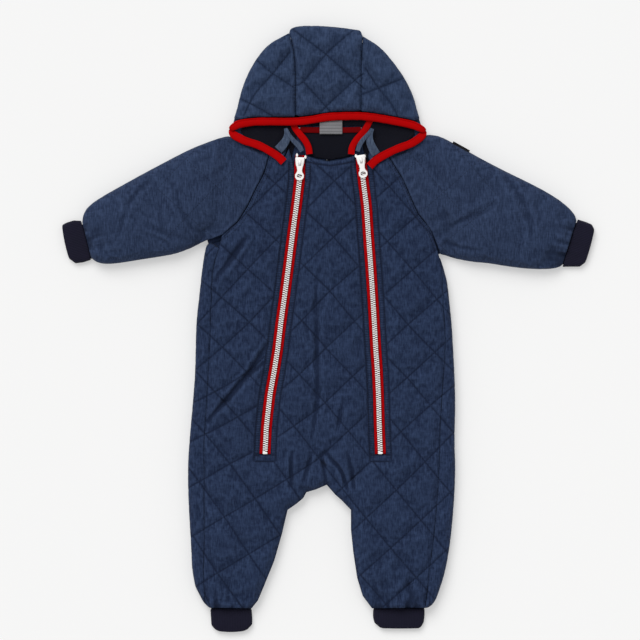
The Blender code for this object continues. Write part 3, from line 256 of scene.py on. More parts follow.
# Lines on the cloth.
def softNoise(x, y, size, seed):
    table = np.random.default_rng(seed).uniform(-1, 1, (64, 64))
    u, v = x / size, y / size
    i, j = np.floor(u).astype(int), np.floor(v).astype(int)
    s, t = u - i, v - j
    s, t = s * s * (3 - 2 * s), t * t * (3 - 2 * t)

    def at(p, q):
        return table[p % 64, q % 64]

    return ((at(i, j) * (1 - s) + at(i + 1, j) * s) * (1 - t)
            + (at(i, j + 1) * (1 - s) + at(i + 1, j + 1) * s) * t)


def smoothPath(path, step):
    pts = [np.array(p, float) for p in path]
    pts = [2 * pts[0] - pts[1]] + pts + [2 * pts[-1] - pts[-2]]
    out = []
    for a, b, c, d in zip(pts, pts[1:], pts[2:], pts[3:]):
        count = max(1, round(float(np.linalg.norm(c - b)) / step))
        for i in range(count):
            t = i / count
            out.append(0.5 * (2 * b + (c - a) * t + (2 * a - 5 * b + 4 * c - d) * t * t
                              + (3 * b - a - 3 * c + d) * t**3))
    out.append(pts[-2])
    return [tuple(p) for p in out]


def besideLine(line, off):
    path = np.array([p[:2] for p in line], float)
    way = np.gradient(path, axis=0)
    way /= np.maximum(np.hypot(*way.T), 1e-9)[:, None]
    return [tuple(p) for p in path + np.stack([-way[:, 1], way[:, 0]], 1) * off]


def lineField(lines, step=0.8):
    spots, ways = [], []
    for line in lines:
        for a, b in zip(line, line[1:]):
            a, b = np.array(a[:2], float), np.array(b[:2], float)
            length = float(np.hypot(*(b - a)))
            if length < 1e-6:
                continue
            count = max(1, round(length / step))
            for i in range(count):
                spots.append(a + (b - a) * (i + 0.5) / count)
                ways.append((b - a) / length)
    tree = KDTree(len(spots))
    for i, p in enumerate(spots):
        tree.insert((p[0], p[1], 0), i)
    tree.balance()
    return {"tree": tree, "spots": np.array(spots), "ways": np.array(ways), "step": step}


def toLines(field, x, y):
    near = np.array([field["tree"].find((a, b, 0))[1] for a, b in zip(x, y)])
    spot, way = field["spots"][near], field["ways"][near]
    off = np.stack([x, y], 1) - spot
    across = np.abs(off[:, 0] * way[:, 1] - off[:, 1] * way[:, 0])
    along = np.maximum(np.abs((off * way).sum(1)) - field["step"] / 2, 0)
    return np.hypot(across, along), spot


def rimLines(node, bend=38):
    # Edges of the node where its front turns down by more than the bend, in degrees.
    bm = bmesh.new()
    bm.from_mesh(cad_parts[node].data)
    bmesh.ops.remove_doubles(bm, verts=bm.verts, dist=1e-5)
    lines = []
    for e in bm.edges:
        if len(e.link_faces) != 2 or min(v.co.z for v in e.verts) < frontFrom * mm:
            continue
        ups = sorted(f.normal.z for f in e.link_faces)
        if ups[0] < 0.5 and ups[1] > 0.55 and e.calc_face_angle_signed(0) > math.radians(bend):
            lines.append([(v.co.x / mm, v.co.y / mm) for v in e.verts])
    bm.free()
    return lines


# Where zips, seams and quilting run.
zipPlan = {
    "y": [-161, -126, -85, -53, -27, 11, 37, 75, 120, 157, 190, 226],
    "left": [-81.0, -79.2, -74.6, -68.9, -64.8, -60.2, -56.5, -51.5, -45.8, -40.8, -36.8, -36.2],
    "right": [66.8, 65.4, 64.3, 62.8, 60.9, 58.8, 57.2, 54.7, 51.4, 48.9, 44.7, 40.6],
    "topstitch": 13.7,   # from the middle of the zip to the row of stitches beside it
    "end": -169,         # the row of stitches below the zip
}


def zipX(side, y):
    return float(np.interp(y, zipPlan["y"], zipPlan[side]))


# Crossings of the quilted diamonds down three columns: row, x, y.
bodyQuilt = {
    -3: [(-1, -106, 220), (1, -105, 148), (3, -103, 76), (5, -101, 8), (7, -104, -56), (9, -116, -113),
         (11, -126, -173), (13, -133, -241), (15, -142, -313), (17, -146, -385)],
    0: [(-2, 9, 260), (0, 8, 189), (2, 7, 117), (4, 2, 48), (6, -3, -25), (8, -4, -95), (10, -12, -166),
        (12, -22, -240), (14, -30, -312), (16, -34, -384)],
    3: [(-1, 114, 214), (1, 112, 143), (3, 108, 75), (5, 102, 5), (7, 101, -63), (9, 93, -132),
        (11, 87, -207), (13, 80, -281), (15, 74, -353), (17, 70, -420)],
}
hoodQuilt = [
    [(-51, 388), (-36, 376), (-3, 351), (34, 318), (47, 306)],
    [(37, 386), (20, 372), (-3, 351), (-32, 316), (-45, 311)],
    [(-32, 316), (-3, 284), (4, 276)], [(45, 326), (34, 318), (-3, 284), (-8, 278)],
    [(-49, 354), (-72, 325), (-94, 300), (-108, 273)], [(-96, 347), (-85, 338), (-72, 327), (-43, 308)],
    [(-114, 295), (-98, 287), (-85, 280), (-68, 270)], [(47, 334), (65, 307), (82, 286), (89, 270)],
    [(44, 300), (65, 308), (85, 316), (97, 321)]]
raglan = {
    "left": [(-75, 226), (-82, 200), (-94, 177), (-104, 156), (-116, 137), (-136, 120), (-155, 114)],
    "right": [(76, 223), (85, 209), (97, 189), (107, 165), (116, 146), (130, 129), (138, 112), (143.6, 96)],
}


def quiltSpot(c, w):
    spots = []
    for k in (-3, 0, 3):
        rows = bodyQuilt[k]
        keys = [r[0] for r in rows]
        spots.append(np.array([np.interp(w, keys, [r[i] for r in rows]) for i in (1, 2)]))
        if w < keys[0]:
            spots[-1] = spots[-1] + (np.array(rows[0][1:]) - np.array(rows[1][1:])) * (keys[0] - w) / 2
    left, middle, right = spots
    return tuple(middle + ((left if c < 0 else right) - middle) * abs(c) / 3)


def bodyQuiltLines():
    lines = []
    for k in range(-4, 13):
        for way in (1, -1):
            line = [quiltSpot(c, 2 * k + way * c) for c in np.arange(-6, 6.01, 0.25)
                    if -2.3 <= 2 * k + way * c <= 17.01]
            if len(line) > 2:
                lines.append(line)
    return lines


def clearOfZips(lines):
    out = []
    for line in lines:
        run = []
        for a, b in zip(line, line[1:]):
            for i in range(8):
                p = (a[0] + (b[0] - a[0]) * i / 8, a[1] + (b[1] - a[1]) * i / 8)
                gap = min(abs(p[0] - zipX(s, p[1])) for s in ("left", "right"))
                if gap < zipPlan["topstitch"] and p[1] > zipPlan["end"]:
                    if len(run) > 2:
                        out.append(run)
                    run = []
                else:
                    run.append(p)
        if len(run) > 2:
            out.append(run)
    return out


quiltLines = clearOfZips(bodyQuiltLines())
placketLines = [[(zipX(s, y) + way * zipPlan["topstitch"], y) for y in np.linspace(top, zipPlan["end"], 60)]
                for s, way, top in (("left", -1, 212), ("left", 1, 209), ("right", -1, 209),
                                    ("right", 1, 202))]
boxLines = [[(zipX(s, -165) + way, y) for way in (-12.8, 12.8)]
            for s in ("left", "right") for y in (-161.5, -170)]
bibHem = [(-29, 214), (-16, 211), (2, 208.7), (19, 211), (33, 214)]
bibHemRow = [(-26, 214), (-16, 211), (2, 208.6), (19, 211), (31, 214)]
hoodLines = [smoothPath(line, 4) for line in hoodQuilt]


# Padded cloth.
def creaseShape(x, y, crease, ridgeAt=1.9, ridgeWidth=1.1, ridgeShare=0.45):
    # A trough along the path with a ridge on either side of it.
    path = np.array(smoothPath(crease["path"], 4))
    lift = np.zeros(len(x))
    low, high = path.min(0) - 4 * crease["width"], path.max(0) + 4 * crease["width"]
    near = np.where((x > low[0]) & (x < high[0]) & (y > low[1]) & (y < high[1]))[0]
    if not len(near):
        return lift
    a, b = path[:-1], path[1:]
    p = np.stack([x[near], y[near]], 1)
    run = b - a
    t = np.clip(((p[:, None] - a) * run).sum(2) / (run**2).sum(1), 0, 1)
    foot = a + run * t[:, :, None]
    gap = np.hypot(*np.moveaxis(p[:, None] - foot, 2, 0))
    k = gap.argmin(1)
    rows = np.arange(len(near))
    gap, part = gap[rows, k], (k + t[rows, k]) / len(run)
    side = np.sign(run[k, 0] * (p[:, 1] - foot[rows, k, 1]) - run[k, 1] * (p[:, 0] - foot[rows, k, 0]))
    fade = np.sin(np.pi * np.clip(0.06 + 0.88 * part, 0, 1)) ** 0.6
    wide = crease["width"] * (0.8 + 0.25 * softNoise(p[:, 0], p[:, 1], 18, 5))
    trough = np.exp(-(gap / wide) ** 2)
    ridge = np.exp(-((gap - ridgeAt * wide) / (ridgeWidth * wide)) ** 2)
    lean = crease.get("lean", 0.0)
    lift[near] = crease["depth"] * fade * (-trough + ridge * (ridgeShare + lean * side))
    return lift


def gatherShape(x, y, gather, fan=0.004):
    # Small pleats that fan out from a gathered seam.
    a, b = np.array(gather["from"], float), np.array(gather["to"], float)
    run = (b - a) / np.linalg.norm(b - a)
    out = np.array([-run[1], run[0]]) * gather.get("way", 1)
    px, py = x - a[0], y - a[1]
    along, off = px * run[0] + py * run[1], px * out[0] + py * out[1]
    span = np.linalg.norm(b - a)
    middle = along - span / 2
    foot = span / 2 + middle / (1 + np.maximum(off, 0) * fan)
    wave = softNoise(foot, foot * 0 + gather["seed"], gather["pitch"], gather["seed"])
    wave = wave + 0.5 * softNoise(foot, off * 0.3, gather["pitch"] * 0.55, gather["seed"] + 1)
    reach = softNoise(foot, foot * 0, gather["pitch"] * 1.7, gather["seed"] + 2)
    reach = gather["reach"] * (0.65 + 0.5 * reach)
    fade = np.exp(-(np.maximum(off, 0) / np.maximum(reach, 3)) ** 1.4) * (off > -4)
    fade *= (along > -6) & (along < span + 6)
    return gather["depth"] * fade * wave


clothPlan = {"quality": 3, "mass": 0.2, "stretch": 20, "shear": 8}
ladderPlan = {"off": 10.4, "half": 3.2, "from": -166, "to": 214, "depth": 0.5, "pitch": 4.6}
# How dark the painted shade is along each kind of line, and the fold depths and crest height that count in
# full.
shadePlan = {"quilting": 0.36, "topstitch": 0.5, "rim": 0.12, "beside": 0.05, "fold": 0.6,
             "pleat": 1.8, "crease": 3.2, "crest": 0.45}


def puffUp(obj, pinned, plan):
    # The skin grows a little, is blown up between its seams and keeps the shape it has then.
    mesh = obj.data
    start = getPoints(mesh)
    group = obj.vertex_groups.new(name="sewnDown")
    group.add([int(i) for i in np.where(pinned)[0]], 1.0, "REPLACE")
    cloth = obj.modifiers.new("padding", "CLOTH")
    settings = cloth.settings
    settings.vertex_group_mass = "sewnDown"
    settings.quality = clothPlan["quality"]
    settings.mass = clothPlan["mass"]
    settings.tension_stiffness = settings.compression_stiffness = clothPlan["stretch"]
    settings.shear_stiffness = clothPlan["shear"]
    settings.bending_stiffness = plan["stiffness"]
    settings.shrink_min = -plan["growth"]
    settings.use_pressure = True
    settings.uniform_pressure_force = plan["pressure"]
    settings.effector_weights.gravity = 0
    cloth.collision_settings.use_collision = False
    scene = bpy.context.scene
    for number in range(1, plan["frames"] + 1):
        scene.frame_set(number)
    graph = bpy.context.evaluated_depsgraph_get()
    done = obj.evaluated_get(graph).to_mesh()
    moved = getPoints(done)
    obj.evaluated_get(graph).to_mesh_clear()
    obj.modifiers.clear()
    scene.frame_set(1)
    move = moved - start
    size = np.linalg.norm(move, axis=1)
    cap = plan["cap"] * mm
    move *= (cap * np.tanh(size / cap) / np.maximum(size, 1e-9))[:, None]
    move[pinned] = 0
    setPoints(mesh, start + move)


def padPiece(name, node, plan, lines, look):
    obj = copyNode(node, name)
    mesh = obj.data
    seen = refineCloth(obj, plan["edge"])
    rimField = lineField(rimLines(node) + plan.get("rims", []))
    quiltField = lineField(lines) if lines else rimField

    def loose(pts):  # seam edges and all hidden sides keep the cut
        edge = toLines(rimField, pts[:, 0] / mm, pts[:, 1] / mm)[0]
        return seen * np.clip((edge - 0.6) / 2.5, 0, 1)

    def upper(pts):  # the share of a point in the padding, by how far it faces up
        up = getNormals(mesh)[:, 2]
        return (seen * np.clip((up - 0.12) / 0.4, 0, 1)
                * np.clip((pts[:, 2] / mm - plan["low"]) / 2.0, 0, 1))

    # The padding between the quilted lines, and the large folds.
    pts = getPoints(mesh)
    pts = relax(mesh, pts, plan["even"], mask=loose(pts))
    setPoints(mesh, pts)
    share = upper(pts)
    x, y = pts[:, 0] / mm, pts[:, 1] / mm
    lineGap, rimGap = toLines(quiltField, x, y)[0], toLines(rimField, x, y)[0]
    gap = np.minimum(lineGap, rimGap)
    short = 1 - np.clip(np.minimum(lineGap / plan["reach"], rimGap / plan["rimReach"]), 0, 1)
    over = np.maximum(pts[:, 2] - plan["seam"] * mm, 0)
    pts[:, 2] -= share * over * (1 - plan["loft"])  # a worn, flattened padding
    rise = plan["crown"] * (np.sqrt(1 - short**2) - plan["sag"])
    for crease in plan["creases"]:
        rise = rise + creaseShape(x, y, crease)
    pts[:, 2] += share * rise * mm
    setPoints(mesh, pts)
    puffUp(obj, (share < 0.9) | (gap < plan["pin"]), plan)

    # Puckers beside the stitches, wrinkles and gathers on a finer mesh.
    splitFaces(obj, share > 0.05)
    seen = outerPoints(mesh)
    pts = getPoints(mesh)
    pts = relax(mesh, pts, 3, mask=loose(pts))
    setPoints(mesh, pts)
    share = upper(pts)
    x, y = pts[:, 0] / mm, pts[:, 1] / mm
    (lineGap, spot), rimGap = toLines(quiltField, x, y), toLines(rimField, x, y)[0]
    gap = np.minimum(lineGap, rimGap)
    ripple = softNoise(spot[:, 0], spot[:, 1], plan["puckerPitch"], 3)
    ripple += 0.6 * softNoise(spot[:, 0], spot[:, 1], plan["puckerPitch"] * 0.5, 4)
    strength = 0.55 + 0.45 * softNoise(x, y, 40, 8)
    rise = plan["pucker"] * strength * ripple * np.exp(-gap / plan["puckerReach"]) * (1 - np.exp(-gap / 0.8))
    rise -= plan["groove"] * np.exp(-lineGap**2)
    # Painted shade along the quilted lines and, on the front, the topstitches.
    dark = shadePlan["quilting"] * np.exp(-(lineGap / 0.8) ** 2) if lines else 0
    if node == "front":
        ladder = np.zeros(len(x))
        for s in ("left", "right"):
            off = np.abs(x - np.interp(y, zipPlan["y"], zipPlan[s]))
            ladder += (np.exp(-((off - ladderPlan["off"]) / ladderPlan["half"]) ** 4)
                       * (y > ladderPlan["from"]) * (y < ladderPlan["to"]))
        storeMask(mesh, "ladder", ladder)
        rise += ladderPlan["depth"] * ladder * softNoise(x * 0.3, y, ladderPlan["pitch"], 17)
        bold = toLines(lineField(placketLines + boxLines + [bibHem]), x, y)[0]
        dark = dark + shadePlan["topstitch"] * np.exp(-bold**2)
    worn = softNoise(x * 0.8 + y * 0.25, y * 0.6 - x * 0.2, 9, 11) + 0.6 * softNoise(x, y * 0.8, 4.4, 12)
    rise += plan["crinkle"] * worn * (1 - np.exp(-gap / 4)) * (0.7 + 0.5 * softNoise(x, y, 55, 13))
    pleats = sum(gatherShape(x, y, gather) for gather in plan["gathers"])
    # Painted shade in the troughs of gathers and creases.
    paintedShade = np.clip(-pleats / shadePlan["pleat"], 0, 1)
    for crease in plan["creases"]:
        paintedShade = paintedShade + np.clip(-creaseShape(x, y, crease) / shadePlan["crease"], 0, 0.8)
    pts[:, 2] = np.maximum(pts[:, 2] + share * (rise + pleats) * mm, 0)
    setPoints(mesh, pts)
    # Crests are painted lighter, as wear and as highlight, and troughs darker, as shade.
    crest = (pts[:, 2] - relax(mesh, pts, 6)[:, 2]) / (shadePlan["crest"] * mm)
    storeMask(mesh, "crest", np.clip(crest * share, -1, 1))
    # The seamShade mask paints shade along lines, at rims, beside lines and in fold troughs.
    storeMask(mesh, "seamShade", dark + shadePlan["rim"] * np.exp(-(rimGap / 0.9) ** 2)
              + shadePlan["beside"] * np.exp(-(gap / 4) ** 2) + shadePlan["fold"] * paintedShade * share)
    mesh.shade_smooth()
    skins.append(obj)
    print(name, "points", len(mesh.vertices), "faces", len(mesh.polygons))
    return finish(obj, look, [node])


# Shader groups shared by several cloths.
def newGroup(name, inputs, outputs):
    tree = bpy.data.node_groups.new(name, "ShaderNodeTree")
    for label, kind, value in inputs:
        socket = tree.interface.new_socket(label, in_out="INPUT", socket_type=kind)
        socket.default_value = value
    for label, kind in outputs:
        tree.interface.new_socket(label, in_out="OUTPUT", socket_type=kind)
    return tree, tree.nodes.new("NodeGroupInput"), tree.nodes.new("NodeGroupOutput")


def addMath(tree, operation, a, b=None, clamp=False):
    node = tree.nodes.new("ShaderNodeMath")
    node.operation = operation
    node.use_clamp = clamp
    for i, value in enumerate((a, b)):
        if value is None:
            continue
        if isinstance(value, (int, float)):
            node.inputs[i].default_value = value
        else:
            tree.links.new(value, node.inputs[i])
    return node.outputs[0]


def times(tree, a, b, clamp=False):
    return addMath(tree, "MULTIPLY", a, b, clamp)


def plus(tree, a, b, clamp=False):
    return addMath(tree, "ADD", a, b, clamp)


def minus(tree, a, b, clamp=False):
    return addMath(tree, "SUBTRACT", a, b, clamp)


def addSpot(tree):
    return tree.nodes.new("ShaderNodeTexCoord").outputs["Object"]


def addMask(tree, name):
    layer = tree.nodes.new("ShaderNodeAttribute")
    layer.attribute_name = name
    return layer.outputs["Fac"]


def addNoise(tree, vector, stretch, scale, detail=3.0, rough=0.55):
    place = tree.nodes.new("ShaderNodeMapping")
    place.inputs["Scale"].default_value = stretch
    tree.links.new(vector, place.inputs["Vector"])
    noise = tree.nodes.new("ShaderNodeTexNoise")
    noise.inputs["Scale"].default_value = scale
    noise.inputs["Detail"].default_value = detail
    noise.inputs["Roughness"].default_value = rough
    tree.links.new(place.outputs[0], noise.inputs["Vector"])
    return noise.outputs[0]


def addWave(tree, vector, direction, pitch, bend=0.0):
    wave = tree.nodes.new("ShaderNodeTexWave")
    wave.bands_direction = direction
    wave.inputs["Scale"].default_value = 0.314 / pitch
    wave.inputs["Distortion"].default_value = bend
    wave.inputs["Detail"].default_value = 1.0
    wave.inputs["Detail Scale"].default_value = 0.6
    tree.links.new(vector, wave.inputs["Vector"])
    return wave.outputs["Fac"]


def addMix(tree, factor, a, b):
    node = tree.nodes.new("ShaderNodeMix")
    node.data_type = "RGBA"
    for socket, value in ((node.inputs[0], factor), (node.inputs[6], a), (node.inputs[7], b)):
        if isinstance(value, (int, float, tuple)):
            socket.default_value = value
        else:
            tree.links.new(value, socket)
    return node.outputs[2]


def buildChambrayGroup():
    # Indigo warp over pale weft: slubs, mottled dye, crests painted lighter as wear and highlight, and
    # painted shade in troughs, along seams and in folds.
    tree, take, give = newGroup(
        "chambrayCloth",
        [("Indigo", "NodeSocketColor", (0.03, 0.06, 0.12, 1)),
         ("Faded", "NodeSocketColor", (0.1, 0.17, 0.28, 1)),
         ("Crest", "NodeSocketFloat", 0.0), ("Seam", "NodeSocketFloat", 0.0),
         ("Slub", "NodeSocketFloat", 1.0), ("Mottle", "NodeSocketFloat", 1.0),
         ("Ladder", "NodeSocketFloat", 0.0)],
        [("Color", "NodeSocketColor"), ("Roughness", "NodeSocketFloat"), ("Height", "NodeSocketFloat")])
    spot = addSpot(tree)
    warp = addWave(tree, spot, "X", 0.00062, 0.5)
    weft = addWave(tree, spot, "Y", 0.00062, 0.5)
    weave = times(tree, warp, weft)
    longSlub = addNoise(tree, spot, (1, 0.14, 0.3), 760, 3.0, 0.62)
    crossSlub = addNoise(tree, spot, (0.3, 1, 0.3), 520, 3.0, 0.6)
    cloud = addNoise(tree, spot, (1, 0.7, 1), 40, 6.0, 0.62)
    cross = times(tree, minus(tree, crossSlub, 0.5), 0.35)
    slub = plus(tree, minus(tree, longSlub, 0.5), cross)
    slub = times(tree, times(tree, slub, take.outputs["Slub"]), 1.5)
    dye = times(tree, minus(tree, cloud, 0.5), take.outputs["Mottle"])
    pale = plus(tree, plus(tree, slub, dye), 0.3)
    # Crests painted lighter, as wear and highlight; troughs painted darker, as shade.
    pale = plus(tree, pale, times(tree, take.outputs["Crest"], 0.24))
    pale = plus(tree, pale, times(tree, minus(tree, weave, 0.25), 0.3))
    # Painted shade along seams, at rims and in fold troughs.
    pale = minus(tree, pale, times(tree, take.outputs["Seam"], 0.5), clamp=True)
    colour = addMix(tree, pale, take.outputs["Indigo"], take.outputs["Faded"])
    paintedShade = times(tree, take.outputs["Seam"], 0.55, clamp=True)
    colour = addMix(tree, paintedShade, colour, (0.008, 0.014, 0.034, 1))
    rough = plus(tree, times(tree, cloud, 0.16), 0.78, clamp=True)
    tree.links.new(rough, give.inputs["Roughness"])
    height = plus(tree, times(tree, weave, 0.35), times(tree, slub, 0.9))
    # Close pleats between a zip and the stitches beside it, with painted shade in their troughs.
    pleat = times(tree, addWave(tree, spot, "Y", 0.0031, 3.0), take.outputs["Ladder"])
    height = plus(tree, height, times(tree, pleat, -1.4))
    colour = addMix(tree, times(tree, pleat, 0.5, clamp=True), colour, (0.006, 0.010, 0.026, 1))
    tree.links.new(colour, give.inputs["Color"])
    tree.links.new(height, give.inputs["Height"])
    return tree


def buildFineWeaveGroup():
    # Close woven or knitted ground for tapes, lining and labels.
    tree, take, give = newGroup(
        "fineWeave",
        [("Thread", "NodeSocketColor", (0.5, 0.5, 0.5, 1)), ("Shade", "NodeSocketColor", (0.2, 0.2, 0.2, 1)),
         ("Diagonal", "NodeSocketFloat", 0.0), ("Fuzz", "NodeSocketFloat", 0.5)],
        [("Color", "NodeSocketColor"), ("Roughness", "NodeSocketFloat"), ("Height", "NodeSocketFloat")])
    spot = addSpot(tree)
    across = addWave(tree, spot, "X", 0.0007)
    along = addWave(tree, spot, "Y", 0.0007)
    twill = addWave(tree, spot, "DIAGONAL", 0.0011)
    plain = times(tree, across, along)
    straight = minus(tree, 1.0, take.outputs["Diagonal"])
    weave = plus(tree, times(tree, plain, straight), times(tree, twill, take.outputs["Diagonal"]))
    fuzz = addNoise(tree, spot, (1, 1, 1), 900, 4.0, 0.6)
    cloud = addNoise(tree, spot, (1, 1, 1), 90, 4.0, 0.6)
    hair = times(tree, minus(tree, fuzz, 0.5), take.outputs["Fuzz"])
    light = plus(tree, times(tree, weave, 0.45), times(tree, cloud, 0.55))
    light = plus(tree, light, hair, clamp=True)
    tree.links.new(addMix(tree, light, take.outputs["Shade"], take.outputs["Thread"]), give.inputs["Color"])
    rough = plus(tree, times(tree, cloud, 0.2), 0.68, clamp=True)
    tree.links.new(rough, give.inputs["Roughness"])
    tree.links.new(plus(tree, weave, hair), give.inputs["Height"])
    return tree


chambrayGroup = buildChambrayGroup()
fineWeaveGroup = buildFineWeaveGroup()


def newMaterial(name):
    mat = bpy.data.materials.new(name)
    mat.use_nodes = True
    return mat, mat.node_tree, mat.node_tree.nodes["Principled BSDF"]


def addBump(tree, shader, height, depth, strength=1.0):
    bump = tree.nodes.new("ShaderNodeBump")
    bump.inputs["Strength"].default_value = strength
    bump.inputs["Distance"].default_value = depth * mm
    tree.links.new(height, bump.inputs["Height"])
    tree.links.new(bump.outputs[0], shader.inputs["Normal"])


def clothMaterial(look, group, keys, gloss):
    mat, tree, shader = newMaterial(look["name"])
    cloth = tree.nodes.new("ShaderNodeGroup")
    cloth.node_tree = group
    for key in keys:
        value = look[key]
        cloth.inputs[key.title()].default_value = (*value, 1) if isinstance(value, tuple) else value
    tree.links.new(cloth.outputs["Roughness"], shader.inputs["Roughness"])
    shader.inputs["Specular IOR Level"].default_value = gloss
    shader.inputs["Sheen Weight"].default_value = look["sheen"]
    return mat, tree, shader, cloth


def denimLook(look):
    keys = ("indigo", "faded", "slub", "mottle")
    mat, tree, shader, cloth = clothMaterial(look, chambrayGroup, keys, 0.12)
    for mask, socket in (("crest", "Crest"), ("seamShade", "Seam"), ("ladder", "Ladder")):
        tree.links.new(addMask(tree, mask), cloth.inputs[socket])
    tree.links.new(cloth.outputs["Color"], shader.inputs["Base Color"])
    shader.inputs["Sheen Roughness"].default_value = 0.5
    addBump(tree, shader, cloth.outputs["Height"], look["bump"])
    return mat


def wovenLook(look):
    mat, tree, shader, cloth = clothMaterial(look, fineWeaveGroup, ("thread", "shade", "diagonal", "fuzz"),
                                             look["gloss"])
    colour = cloth.outputs["Color"]
    if "paintedShade" in look:  # painted shade where the tape lies under something else
        colour = addMix(tree, times(tree, addMask(tree, "inShade"), 0.8), colour, (*look["paintedShade"], 1))
    if "rules" in look:  # plain lines across a blank label
        rule = addMath(tree, "GREATER_THAN", addWave(tree, addSpot(tree), "Y", look["rules"]), 0.86)
        colour = addMix(tree, times(tree, rule, 0.55), colour, (*look["shade"], 1))
        colour = addMix(tree, times(tree, rule, 0.45), colour, (0.05, 0.05, 0.055, 1))
    tree.links.new(colour, shader.inputs["Base Color"])
    addBump(tree, shader, cloth.outputs["Height"], look["bump"])
    return mat


def ribLook(look):
    # Fine ribs run along the cuff; the mesh carries how far round each point lies.
    mat, tree, shader, cloth = clothMaterial(look, fineWeaveGroup, ("thread", "shade", "fuzz"), 0.1)
    # The grooves between ribs are painted darker and the rib tops lighter, as shade and light.
    rib = addMath(tree, "SINE", times(tree, addMask(tree, "around"), 2 * math.pi / look["pitch"]))
    rib = plus(tree, times(tree, rib, 0.5), 0.5)
    lit = plus(tree, times(tree, rib, 0.5), 0.3, clamp=True)
    colour = addMix(tree, lit, (*look["shade"], 1), cloth.outputs["Color"])
    tree.links.new(colour, shader.inputs["Base Color"])
    height = plus(tree, rib, times(tree, cloth.outputs["Height"], 0.2))
    addBump(tree, shader, height, look["bump"])
    return mat


def plasticLook(look):
    mat, tree, shader = newMaterial(look["name"])
    spot = addSpot(tree)
    haze = addNoise(tree, spot, (1, 1, 1), 420, 3.0)
    grain = addNoise(tree, spot, (1, 1, 1), 2600, 2.0)
    tree.links.new(addMix(tree, haze, (*look["shade"], 1), (*look["colour"], 1)), shader.inputs["Base Color"])
    rough = plus(tree, times(tree, haze, 0.2), look["rough"], clamp=True)
    tree.links.new(rough, shader.inputs["Roughness"])
    shader.inputs["Specular IOR Level"].default_value = 0.45
    addBump(tree, shader, grain, 0.02, 0.4)
    return mat


denim = {"slub": 1.0, "mottle": 0.35, "sheen": 0.03, "bump": 0.28}
bodyDenim = denimLook(dict(denim, name="quiltedChambray", indigo=(0.007, 0.014, 0.040),
                           faded=(0.037, 0.062, 0.134)))
hoodDenim = denimLook(dict(denim, name="hoodChambray", indigo=(0.012, 0.023, 0.056),
                           faded=(0.050, 0.080, 0.160)))
sleeveDenim = denimLook(dict(denim, name="sleeveChambray", indigo=(0.011, 0.020, 0.050),
                             faded=(0.046, 0.073, 0.150), slub=1.1, bump=0.3))
paleDenim = denimLook(dict(denim, name="facingChambray", indigo=(0.026, 0.040, 0.074),
                           faded=(0.110, 0.150, 0.225), slub=0.9, mottle=0.6, bump=0.25))
weave = {"diagonal": 0.5, "fuzz": 0.3, "sheen": 0.0, "bump": 0.05, "gloss": 0.12}
# paintedShade is the dark red painted on a tape where it lies in shade.
redBinding = wovenLook(dict(weave, name="redBinding", thread=(0.480, 0.000, 0.001),
                            shade=(0.300, 0.000, 0.000), paintedShade=(0.06, 0.0, 0.001), diagonal=0.6, fuzz=0.35,
                            bump=0.14, gloss=0.05))
redZipTape = wovenLook(dict(weave, name="redZipTape", thread=(0.500, 0.001, 0.002),
                            shade=(0.320, 0.000, 0.001), paintedShade=(0.06, 0.0, 0.001), diagonal=0.0,
                            bump=0.16, gloss=0.05))
ribKnit = ribLook({"name": "darkRibKnit", "thread": (0.018, 0.016, 0.038), "shade": (0.006, 0.006, 0.015),
                   "fuzz": 0.6, "sheen": 0.03, "bump": 0.35, "pitch": 2.1})
softLining = wovenLook(dict(weave, name="darkSoftLining", thread=(0.005, 0.006, 0.013),
                            shade=(0.001, 0.001, 0.004), diagonal=0.2, fuzz=0.9, sheen=0.01, bump=0.2))
labelCloth = wovenLook(dict(weave, name="greyLabelCloth", thread=(0.250, 0.250, 0.265),
                            shade=(0.150, 0.150, 0.160), rules=0.0041, diagonal=0.0, fuzz=0.1, sheen=0.05,
                            bump=0.06, gloss=0.4))
tabCloth = wovenLook(dict(weave, name="blackTabCloth", thread=(0.010, 0.010, 0.012),
                          shade=(0.003, 0.003, 0.004), sheen=0.02, bump=0.1))
navyThread = wovenLook(dict(weave, name="navyThread", thread=(0.009, 0.013, 0.030),
                            shade=(0.004, 0.006, 0.014), sheen=0.02))
whitePlastic = plasticLook({"name": "whiteMouldedPlastic", "colour": (0.97, 0.96, 0.95),
                            "shade": (0.90, 0.89, 0.87), "rough": 0.28})
print("materials ready")


